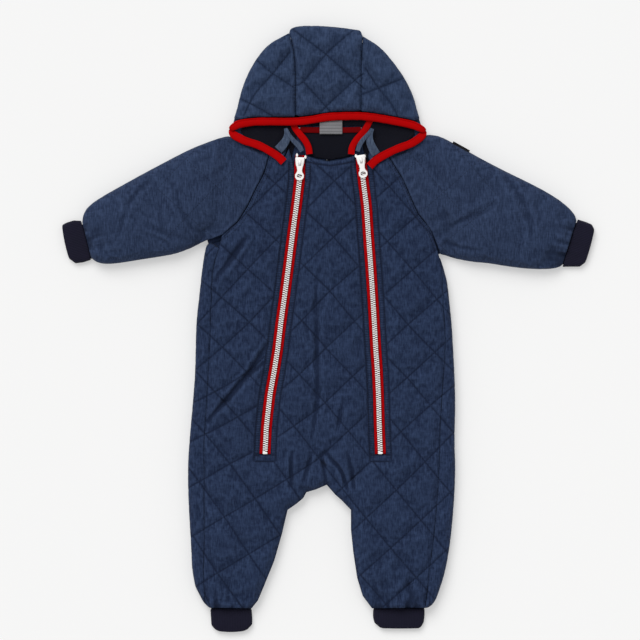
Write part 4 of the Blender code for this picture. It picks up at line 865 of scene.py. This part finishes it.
# Padded pieces, in millimetres: even = times the cut is smoothed, low = where the padding starts, seam and
# loft = how far it is flattened, crown and sag = height between the lines, cap = the most it may puff up.
frontPanel = {"edge": 4.6, "even": 6, "low": 11.0, "seam": 18, "loft": 0.62, "crown": 1.0, "sag": 0.72,
              "reach": 20, "rimReach": 7, "pin": 2.0, "pucker": 0.75, "puckerPitch": 5.5,
              "puckerReach": 6.5, "groove": 0.42, "crinkle": 0.24, "growth": 0.035, "pressure": 1.2,
              "stiffness": 0.05, "frames": 18, "cap": 2.6, "fill": 0.45,
              "creases": [
                  {"path": [(-106, 117), (-121, 94), (-145, 62)], "depth": 3.4, "width": 4.2, "lean": 0.3},
                  {"path": [(-79, -20), (-101, -56), (-122, -81), (-154, -118)], "depth": 4.4, "width": 4.4,
                   "lean": -0.3},
                  {"path": [(-81, -42), (-99, -58)], "depth": 2.2, "width": 3},
                  {"path": [(-16, 62), (-15, -20), (-14, -91), (-22, -142)], "depth": 2.1, "width": 4.0},
                  {"path": [(19, -91), (12, -130)], "depth": 1.8, "width": 4.0},
                  {"path": [(-47, -158), (-48, -180), (-47, -202)], "depth": 3.2, "width": 3.2},
                  {"path": [(-21, -160), (-26, -178), (-32, -196)], "depth": 2.8, "width": 3.2, "lean": 0.2},
                  {"path": [(-9, -160), (-6, -178), (-3, -196)], "depth": 2.6, "width": 3},
                  {"path": [(-4, -158), (15, -181), (25, -206)], "depth": 3.4, "width": 3.3, "lean": -0.2},
                  {"path": [(25, -160), (30, -184), (33, -207)], "depth": 2.6, "width": 3.0},
                  {"path": [(134, 130), (144, 112), (148, 98)], "depth": 1.6, "width": 4}],
              "gathers": [
                  {"from": (-153, -358), "to": (-98, -358), "pitch": 9, "reach": 30, "depth": 4.4,
                   "seed": 21},
                  {"from": (57, -358), "to": (125, -358), "pitch": 9, "reach": 32, "depth": 4.4,
                   "seed": 31}]}
backPanel = dict(frontPanel, low=10.5, crown=0.9, loft=0.8, pressure=0.8, crinkle=0.22, cap=1.8, creases=[])
hoodPanel = dict(frontPanel, low=10.5, seam=17, loft=1.0, crown=3.0, reach=24, groove=0.6, pucker=1.0,
                 crinkle=0.28, creases=[], gathers=[])
sleevePanel = dict(frontPanel, low=8.5, loft=1.0, reach=16, pucker=0.8, growth=0.03, pressure=1.0,
                   cap=3.2, fill=0.35)
sleeveFolds = {
    "left": {"creases": [
        {"path": [(-160, 118), (-182, 140), (-196, 170)], "depth": 0.9, "width": 6},
        {"path": [(-170, 112), (-205, 122), (-236, 132)], "depth": 1.0, "width": 4.5},
        {"path": [(-120, 215), (-150, 195), (-190, 176)], "depth": 0.5, "width": 7},
        {"path": [(-228, 190), (-255, 160), (-268, 120)], "depth": 0.5, "width": 6}],
        "gathers": [{"from": (-317, 140), "to": (-303, 86), "pitch": 9, "reach": 30, "depth": 4.6,
                     "seed": 41, "way": 1}]},
    "right": {"creases": [
        {"path": [(152, 111), (172, 104), (196, 101)], "depth": 1.3, "width": 4},
        {"path": [(140, 118), (170, 138), (205, 150)], "depth": 0.9, "width": 6},
        {"path": [(120, 215), (150, 190), (190, 172)], "depth": 0.5, "width": 7},
        {"path": [(225, 196), (250, 160), (262, 118)], "depth": 0.5, "width": 6}],
        "gathers": [{"from": (318, 142), "to": (299, 78), "pitch": 9, "reach": 30, "depth": 4.6,
                     "seed": 51, "way": -1}]}}

padPiece("quiltedFront", "front", frontPanel, quiltLines + placketLines + boxLines + [bibHem], bodyDenim)
for side in ("left", "right"):
    padPiece("quiltedBack" + side.title(), "back_" + side, backPanel, quiltLines, bodyDenim)
    padPiece("sleeve" + side.title(), "sleeve_" + side, dict(sleevePanel, rims=[raglan[side]],
             **sleeveFolds[side]), [], sleeveDenim)
for part in ("left", "centre", "right"):
    padPiece("hood" + part.title(), "hood_" + part, hoodPanel, hoodLines, hoodDenim)
print("padded cloth ready")


# Plain cloth: cuffs, bindings, linings, facings, label and tab.
def softCopy(name, node, plan):
    obj = copyNode(node, name)
    seen = refineCloth(obj, plan["edge"])
    mesh = obj.data
    pts = getPoints(mesh)
    pts = relax(mesh, pts, plan.get("even", 0), mask=seen.astype(float))
    x, y = pts[:, 0] / mm, pts[:, 1] / mm
    wave = softNoise(x, y, plan["wave"], 61) + 0.5 * softNoise(x, y, plan["wave"] * 0.45, 62)
    pts[:, 2] += seen * plan["sway"] * wave * mm * np.clip(pts[:, 2] / mm / 3, 0, 1)
    setPoints(mesh, pts)
    mesh.shade_smooth()
    return obj


# A folded band cut across, in shares of its width and thickness; the dip is the row of stitches.
bandShape = [(-0.5, -0.12), (-0.46, -0.46), (-0.2, -0.5), (0.2, -0.5), (0.46, -0.46), (0.5, -0.12),
             (0.49, 0.2), (0.44, 0.42), (0.36, 0.47), (0.29, 0.36), (0.22, 0.48), (0.0, 0.5), (-0.25, 0.47),
             (-0.42, 0.38), (-0.49, 0.2)]


def makeBand(name, runs, shaded=()):
    # Each run is laid along a smooth path; the numbers in shaded are the runs that lie in shade, which is
    # painted on them as a darker colour.
    pts, faces, shade = [], [], []
    for number, run in enumerate(runs):
        path = np.array(smoothPath(run, 1.5))
        way = np.gradient(path[:, :2], axis=0)
        way /= np.maximum(np.hypot(*way.T), 1e-9)[:, None]
        base = len(pts)
        for i, (x, y, z, half, thick) in enumerate(path):
            half *= 1 + 0.035 * float(softNoise(np.array([i * 1.5]), np.array([number * 7.0]), 6, 71)[0])
            z += 0.3 * float(softNoise(np.array([i * 1.5]), np.array([number * 9.0]), 7, 72)[0])
            for across, up in bandShape:
                off = across * half
                pts.append(((x - way[i, 1] * off) * mm, (y + way[i, 0] * off) * mm, (z + up * thick) * mm))
                shade.append(float(number in shaded))
        faces += ringFaces(base, len(path), len(bandShape))
    mesh = meshFrom(name, pts, faces)
    tidyMesh(mesh)
    mesh.set_sharp_from_angle(angle=math.radians(62))
    storeMask(mesh, "inShade", shade)
    return addObject(name, mesh)


# Points of the bands: x, y, height of the middle, width, thickness.
bands = {
    "hoodEdgeTape": {"node": "hood_binding", "flat": (0.247, 0.0135), "runs": [
        [(-125.2, 254.6, 12.6, 5.6, 3.2), (-123.2, 256.6, 13.4, 8.2, 4.6), (-119, 259.4, 13.8, 9.8, 5.6),
         (-113, 262, 13.8, 10.2, 6), (-95, 264.6, 13.8, 10.2, 6), (-76, 265, 13.8, 10.2, 6),
         (-43, 265, 13.8, 10.2, 6), (-21, 267.5, 13.8, 10.2, 6), (-1, 270.8, 13.8, 10.4, 6),
         (20, 272, 13.8, 10.4, 6), (41, 272, 13.8, 10.2, 6), (60, 270, 13.8, 10.2, 6),
         (83, 266, 13.8, 10.2, 6), (105, 261.5, 13.8, 10.2, 6), (115, 257.8, 13.8, 9.8, 5.6),
         (120.8, 254.6, 13.4, 8.2, 4.6), (123.6, 252.2, 12.6, 5.6, 3.2)]]},
    "hoodEdgeTapeLeft": {"node": "hood_binding_left", "flat": (0.078, 0.0125), "runs": [
        [(-122.6, 257.2, 9.2, 5.4, 2.2), (-123.4, 251.8, 10.4, 8.6, 3.4), (-120, 247.4, 12.4, 10.2, 4),
         (-113, 243.6, 15, 10.2, 4), (-106, 240.2, 17.2, 10.2, 4), (-89, 234.6, 20.2, 10, 4),
         (-75, 227.3, 21.4, 10, 4), (-64, 220, 21.8, 10.2, 4), (-57, 213.2, 21.8, 10.6, 4)]]},
    "hoodEdgeTapeRight": {"node": "hood_binding_right", "flat": (0.083, 0.0125), "runs": [
        [(53, 207.8, 22, 10.6, 4), (61, 215.5, 22, 10.2, 4), (73, 222.8, 21.6, 10, 4), (88, 230, 20.2, 10, 4),
         (104, 236, 17.2, 10.2, 4), (112, 240.5, 15, 10.2, 4), (118.5, 245.4, 12.4, 10.2, 4),
         (121.8, 249.8, 10.6, 8.6, 3.4), (121.4, 254.8, 9.2, 5.4, 2.2)]]},
    # The back run, behind the label, gets painted shade.
    "neckTape": {"node": "neck_binding", "flat": (0.160, 0.0113), "shaded": (2,), "runs": [
        [(-24, 223.4, 13.4, 8.8, 3.2), (-25.6, 232.5, 13.4, 8.6, 3.2), (-30, 241, 13, 8.4, 3),
         (-37.4, 250, 11.6, 8.4, 2.4), (-42.4, 256.6, 9.8, 8.2, 1.3), (-44.6, 262, 9.7, 8, 1.2)],
        [(54.4, 268, 9.7, 8, 1.2), (48.4, 256.4, 9.8, 8.2, 1.3), (43, 249.4, 11.6, 8.4, 2.4),
         (35.6, 241, 13, 8.4, 3), (30.8, 232.5, 13.4, 8.6, 3.2), (29.4, 223.2, 13.4, 8.8, 3.2)],
        [(-36, 254.6, 10.4, 7.2, 1.4), (-20, 254.2, 10.6, 7.2, 1.5), (3.5, 254, 10.6, 7.2, 1.5),
         (26, 254.2, 10.6, 7.2, 1.5), (42, 254.6, 10.4, 7.2, 1.4)]]},
}
for name, band in bands.items():
    piece = makeBand(name, band["runs"], band.get("shaded", ()))
    finish(piece, redBinding, [band["node"]])

cuffPlan = {"edge": 2.2, "wave": 7, "sway": 0.25}
# Across is the direction round the cuff, even the times that its cut is smoothed.
cuffs = {
    "wrist_cuff_left": {"name": "wristCuffLeft", "across": (0.243, -0.970), "even": 1,
                        "flat": (0.110, 0.029)},
    "wrist_cuff_right": {"name": "wristCuffRight", "across": (-0.305, -0.952), "even": 1,
                         "flat": (0.119, 0.029)},
    "ankle_cuff_left": {"name": "ankleCuffLeft", "across": (1, 0), "even": 4, "flat": (0.107, 0.030)},
    "ankle_cuff_right": {"name": "ankleCuffRight", "across": (1, 0), "even": 4, "flat": (0.132, 0.026)},
}
for node, cuff in cuffs.items():
    piece = softCopy(cuff["name"], node, dict(cuffPlan, even=cuff["even"]))
    pts = getPoints(piece.data) / mm
    storeMask(piece.data, "around", pts[:, 0] * cuff["across"][0] + pts[:, 1] * cuff["across"][1])
    finish(piece, ribKnit, [node])

thinPlan = {"edge": 3.5, "wave": 16, "sway": 0.25}
tabPlan = {"inward": np.array([-0.485, -0.875]), "reach": 1.9}
for name, node, look, slot, size, area in (
        ("hoodLining", "hood_lining", softLining, "dark_lining", (0.222, 0.065), 0.0078),
        ("neckLining", "neck_lining", softLining, "dark_lining", (0.086, 0.037), 0.0025),
        ("careLabel", "care_label", labelCloth, "label_cloth", (0.029, 0.0175), 0.0005),
        ("sleeveTab", "sleeve_tab", tabCloth, "tab_cloth", (0.024, 0.010), 0.00024)):
    piece = softCopy(name, node, thinPlan)
    if name == "sleeveTab":  # its folded layers reach back to the sleeve's edge
        pts = getPoints(piece.data)
        inner = (pts[:, :2] - pts[:, :2].mean(0)) @ tabPlan["inward"] > 0
        pts[inner, :2] += tabPlan["inward"] * tabPlan["reach"] * mm
        setPoints(piece.data, pts)
    finish(piece, look, [node])

# As for the bands; the area is given because the cut isn't a rectangle.
facings = {
    "zipFacingLeft": {"node": "zip_facing_left", "flat": (0.035, 0.032), "area": 0.0005, "runs": [
        [(-54.6, 256.4, 14.6, 4.2, 1.4), (-52.8, 249, 15.2, 7.6, 1.6), (-54, 241.5, 15.6, 9.8, 1.6),
         (-58.8, 234.4, 15.9, 11.4, 1.6), (-64, 228.6, 16, 12, 1.4)],
        [(-53.4, 255.6, 15.6, 3.4, 1.2), (-49.6, 247.4, 16.4, 5, 1.6), (-43.8, 240, 16.6, 6.2, 1.6),
         (-37.8, 234, 16.4, 6.6, 1.6), (-33.6, 227, 15.9, 6, 1.4)]]},
    "zipFacingRight": {"node": "zip_facing_right", "flat": (0.028, 0.035), "area": 0.00046, "runs": [
        [(56.6, 256, 14.6, 4.2, 1.4), (53.4, 247.4, 15.2, 7.4, 1.6), (53.6, 238.6, 15.6, 9.6, 1.6),
         (57, 230.4, 15.9, 11, 1.6), (61.4, 223, 16, 11.6, 1.4)],
        [(55.6, 255.6, 15.6, 3.4, 1.2), (50.6, 248.6, 16.4, 4.8, 1.6), (44.2, 241.4, 16.6, 5.8, 1.6),
         (40, 234.4, 16.4, 6, 1.6), (37.4, 227, 15.9, 5.4, 1.4)]]},
}
for name, facing in facings.items():
    piece = makeBand(name, facing["runs"])
    finish(piece, paleDenim, [facing["node"]])
print("plain cloth ready")


# Seam allowances lie inside, between the layers, under every joint that shows.
def makeStrip(name, path, half, low, high, look):
    path = smoothPath(path, 3)
    left, right = besideLine(path, half), besideLine(path, -half)
    pts = []
    for a, b in zip(left, right):
        pts += [(a[0] * mm, a[1] * mm, low * mm), (b[0] * mm, b[1] * mm, low * mm),
                (b[0] * mm, b[1] * mm, high * mm), (a[0] * mm, a[1] * mm, high * mm)]
    obj = addObject(name, meshFrom(name, pts, ringFaces(0, len(left), 4), smooth=False))
    # Painted shade over the whole strip, which shows only down in the gaps of the seam.
    storeMask(obj.data, "seamShade", np.ones(len(pts)) * 0.5)
    finish(obj, look, [])
    return obj


# Path, half the width, lowest and highest height, material, slot.
allowances = {
    "raglanAllowanceLeft": (raglan["left"], 5, 9.0, 10.0, bodyDenim, "quilted_denim"),
    "raglanAllowanceRight": (raglan["right"], 5, 9.0, 10.0, bodyDenim, "quilted_denim"),
    "hoodAllowanceLeft": ([(-49, 370), (-45, 356), (-42, 330), (-42, 276)], 5, 8.0, 9.0, hoodDenim,
                          "hood_denim"),
    "hoodAllowanceRight": ([(43, 366), (43, 354), (42, 330), (42, 282)], 5, 8.0, 9.0, hoodDenim,
                           "hood_denim"),
    "facingAllowanceLeft": ([(-50, 262), (-50, 246), (-57, 217)], 9, 8.4, 9.3, softLining, "dark_lining"),
    "facingAllowanceRight": ([(52, 264), (52, 244), (57, 212)], 9, 8.4, 9.3, softLining, "dark_lining"),
    "backAllowance": ([(-3, 195), (-3, 215.4)], 5.2, 8.3, 9.2, softLining, "dark_lining"),
    "wristAllowanceLeft": ([(-312, 134), (-301, 90)], 5, 4.0, 5.0, ribKnit, "rib_knit"),
    "wristAllowanceRight": ([(316, 136), (298, 83)], 5, 4.0, 5.0, ribKnit, "rib_knit"),
    "ankleAllowanceLeft": ([(-150, -358), (-98.5, -358)], 5, 4.0, 5.0, ribKnit, "rib_knit"),
    "ankleAllowanceRight": ([(58, -358), (123, -358)], 5, 4.0, 5.0, ribKnit, "rib_knit"),
}
for name, (path, half, low, high, look, slot) in allowances.items():
    makeStrip(name, path, half, low, high, look)


# Zips.
def zipPoint(side, y, off, z):
    slope = (zipX(side, y + 4) - zipX(side, y - 4)) / 8
    size = math.hypot(slope, 1)
    return ((zipX(side, y) + off / size) * mm, (y - off * slope / size) * mm, z * mm)


zipTape = {"low": 12.0, "high": 13.2, "from": -160.5, "to": 222}
zipTeeth = {"pitch": 2.8, "from": -157, "to": 208, "reach": 3.1, "overlap": 0.25}
zipStops = {"left": [(-40.0, 222.0), (-29.3, 219.6)], "right": [(35.4, 221.0), (46.6, 220.6)],
            "height": 15.0, "size": (2.6, 4.4, 3.0), "rounding": 0.7}
bottomStop = {"y": -159.2, "height": 14.6, "size": (6.0, 3.0, 2.8), "rounding": 0.6}


def makeZipTape(side):
    offs = [-7.0, -6.2, -5.0, -4.0, -3.4, -2.9, -1.0, 0, 1.0, 2.9, 3.4, 4.0, 5.0, 6.2, 7.0]
    lift = [0, 0.15, 0.1, 0.1, 0.5, 0.1, -0.1, -0.2, -0.1, 0.1, 0.5, 0.1, 0.1, 0.15, 0]
    ys = np.arange(zipTape["from"], zipTape["to"] + 0.1, 2.5)
    pts = []
    for y in ys:
        sway = 0.12 * math.sin(y * 0.31) + 0.1 * math.sin(y * 0.12 + 1)
        slim = 1 - 0.16 * min(max((y - 208) / 12, 0), 1)
        pts += [zipPoint(side, y, o * slim, zipTape["high"] + h - 0.1 + sway * abs(o) / 7)
                for o, h in zip(offs, lift)]
        pts += [zipPoint(side, y, o * slim, zipTape["low"]) for o in reversed(offs)]
    mesh = meshFrom("zipTape" + side.title(), pts, ringFaces(0, len(ys), 2 * len(offs)))
    tidyMesh(mesh)
    x, y = getPoints(mesh)[:, :2].T / mm
    off = np.abs(x - np.interp(y, zipPlan["y"], zipPlan[side]))
    # Painted shade on the tape under the teeth.
    storeMask(mesh, "inShade", np.clip((3.6 - off) / 0.6, 0, 1))
    return addObject("zipTape" + side.title(), mesh)


def toothPoints(side, y, way):
    # Sections from the tape to the rounded head: off centre, half width, low, high.
    reach, lap = zipTeeth["reach"], zipTeeth["overlap"]
    rows = [(reach, 0.62, 13.3, 15.3), (reach * 0.9, 0.84, 12.95, 15.95), (1.5, 0.84, 13.0, 16.0),
            (0.9, 0.58, 13.0, 16.0), (0.1, 0.66, 13.0, 16.0), (-lap, 0.5, 13.5, 15.7)]
    shape = [(-1, 0.2), (-0.75, 0), (0.75, 0), (1, 0.2), (1, 0.88), (0.84, 1), (-0.84, 1), (-1, 0.88)]
    pts = []
    for off, half, low, high in rows:
        pts += [zipPoint(side, y + s * half, off * way, low + (high - low) * t) for s, t in shape]
    return pts


def addStop(bm, centre, plan, segments):
    stop = bmesh.ops.create_cube(bm, size=1.0)["verts"]
    bmesh.ops.scale(bm, verts=stop, vec=[s * mm for s in plan["size"]])
    bmesh.ops.translate(bm, verts=stop, vec=centre)
    edges = list({e for v in stop for e in v.link_edges})
    bmesh.ops.bevel(bm, geom=edges, offset=plan["rounding"] * mm, segments=segments, affect="EDGES")


def makeTeeth(side):
    pts, faces = [], []
    for row, way in enumerate((-1, 1)):
        y = zipTeeth["from"] + row * zipTeeth["pitch"] / 2
        while y < zipTeeth["to"]:
            faces += ringFaces(len(pts), 6, 8)
            pts += toothPoints(side, y, way)
            y += zipTeeth["pitch"]
    mesh = meshFrom("zipTeeth" + side.title(), pts, faces)
    bm = bmesh.new()
    bm.from_mesh(mesh)
    for x, y in zipStops[side]:
        addStop(bm, (x * mm, y * mm, zipStops["height"] * mm), zipStops, 3)
    addStop(bm, zipPoint(side, bottomStop["y"], 0, bottomStop["height"]), bottomStop, 2)
    bmesh.ops.recalc_face_normals(bm, faces=bm.faces)
    bm.to_mesh(mesh)
    bm.free()
    mesh.set_sharp_from_angle(angle=math.radians(30))
    return addObject("zipTeeth" + side.title(), mesh)


def roundedCopy(name, node, radius, sharper=28):
    obj = copyNode(node, name)
    bevel = obj.modifiers.new("softEdges", "BEVEL")
    bevel.width = radius * mm
    bevel.segments = 3
    bevel.limit_method = "ANGLE"
    bevel.angle_limit = math.radians(sharper)
    bakeModifiers(obj)
    obj.data.shade_smooth()
    obj.data.set_sharp_from_angle(angle=math.radians(42))
    return obj


for side in ("left", "right"):
    tape = finish(makeZipTape(side), redZipTape, ["zip_tape_" + side])
    finish(makeTeeth(side), whitePlastic, ["zip_chain_" + side])
    finish(roundedCopy("slider" + side.title(), "zip_slider_" + side, 0.45), whitePlastic,
           ["zip_slider_" + side])
    finish(roundedCopy("pullTab" + side.title(), "zip_pull_" + side, 0.35), whitePlastic,
           ["zip_pull_" + side], body="pull_" + side)
print("zips ready")


# Sewing.
def treeOf(objects):
    pts, faces, base = [], [], 0
    for obj in objects:
        mesh = obj.data
        pts += [tuple(p) for p in getPoints(mesh)]
        faces += [tuple(base + i for i in p.vertices) for p in mesh.polygons]
        base += len(mesh.vertices)
    return BVHTree.FromPolygons(pts, faces)


# A stitch from end to end: share of its length, share of its full thickness.
stitchShape = [(0.0, 0.35), (0.3, 1.0), (0.7, 1.0), (1.0, 0.35)]


def sewLines(name, lines, tree, thread, look):
    pts, faces = [], []
    for line in lines:
        path = np.array([p[:2] for p in line], float)
        steps = np.hypot(*np.diff(path, axis=0).T)
        travel = np.concatenate([[0], np.cumsum(steps)])
        count = int(travel[-1] / thread["pitch"])
        for i in range(count):
            s0 = i * thread["pitch"] + 0.4
            ends = [np.array([np.interp(s, travel, path[:, k]) for k in (0, 1)])
                    for s in (s0, s0 + thread["length"])]
            way = ends[1] - ends[0]
            size = float(np.hypot(*way))
            if size < 0.5:
                continue
            way = way / size
            side = np.array([-way[1], way[0]])
            hits = [tree.ray_cast(Vector((p[0] * mm, p[1] * mm, 0.06)), Vector((0, 0, -1)))[0]
                    for p in ends]
            if (None in hits or min(h.z for h in hits) < frontFrom * mm
                    or abs(hits[0].z - hits[1].z) > thread["steep"] * mm):
                continue
            faces += ringFaces(len(pts), 4, 5)
            for t, full in stitchShape:
                spot = ends[0] + (ends[1] - ends[0]) * t
                z = (hits[0].z + (hits[1].z - hits[0].z) * t) / mm - 0.12 + 0.22 * (full - 0.35)
                r = thread["radius"] * full
                for a in range(5):
                    angle = 2 * math.pi * a / 5
                    p = spot + side * r * math.cos(angle)
                    pts.append((p[0] * mm, p[1] * mm, (z + r * math.sin(angle)) * mm))
    mesh = meshFrom(name, pts, faces)
    print(name, "stitches", len(pts) // 20)
    return finish(addObject(name, mesh), look, [])


quiltThread = {"pitch": 3.4, "length": 2.3, "radius": 0.26, "steep": 2.5}
seamThread = {"pitch": 3.0, "length": 2.3, "radius": 0.38, "steep": 2.5}
skinTree = treeOf(skins)
sewLines("quiltStitches", quiltLines + hoodLines, skinTree, quiltThread, navyThread)
seamRows = placketLines + boxLines
for side, way in (("left", 1), ("right", -1)):
    seamRows += [besideLine(smoothPath(raglan[side], 3), way * off) for off in (2.2, 5.72)]
seamRows.append(smoothPath(bibHemRow, 3))
sewLines("seamStitches", seamRows, skinTree, seamThread, navyThread)
print("sewing ready")


# Camera, floor and light.
floorPlan = {"half": 4, "height": -0.0004, "colour": (0.55, 0.55, 0.548, 1), "glow": (1, 1, 0.998, 1),
             "glowStrength": 0.36, "roughness": 0.9, "gloss": 0.1}
cameraPlan = {"width": 0.8192, "place": (-0.01056, 0.0110, 2.0)}
studio = {"from": (-0.40, 0.85, 1.05), "key": 1.85, "soft": 40, "sky": 0.585}

half, height = floorPlan["half"], floorPlan["height"]
floorMesh = meshFrom("floor", [(-half, -half, height), (half, -half, height), (half, half, height),
                               (-half, half, height)], [(0, 1, 2, 3)], smooth=False)
floor = addObject("floor", floorMesh)
floorLook, _, floorShader = newMaterial("paleGround")
for socket, key in (("Base Color", "colour"), ("Emission Color", "glow"), ("Roughness", "roughness"),
                    ("Emission Strength", "glowStrength"), ("Specular IOR Level", "gloss")):
    floorShader.inputs[socket].default_value = floorPlan[key]
floorMesh.materials.append(floorLook)

cameraData = bpy.data.cameras.new("topCamera")
cameraData.type = "ORTHO"
cameraData.ortho_scale = cameraPlan["width"]
camera = addObject("topCamera", cameraData)
camera.location = cameraPlan["place"]
bpy.context.scene.camera = camera

bpy.context.scene.view_settings.view_transform = "Standard"
keyData = bpy.data.lights.new("softKey", "SUN")
keyData.energy = studio["key"]
keyData.angle = math.radians(studio["soft"])
key = addObject("softKey", keyData)
key.rotation_euler = (-Vector(studio["from"])).to_track_quat("-Z", "Y").to_euler()
world = bpy.data.worlds.new("studio")
world.use_nodes = True
sky = world.node_tree.nodes["Background"]
sky.inputs["Color"].default_value = (1, 1, 1, 1)
sky.inputs["Strength"].default_value = studio["sky"]
bpy.context.scene.world = world
print("stage ready")
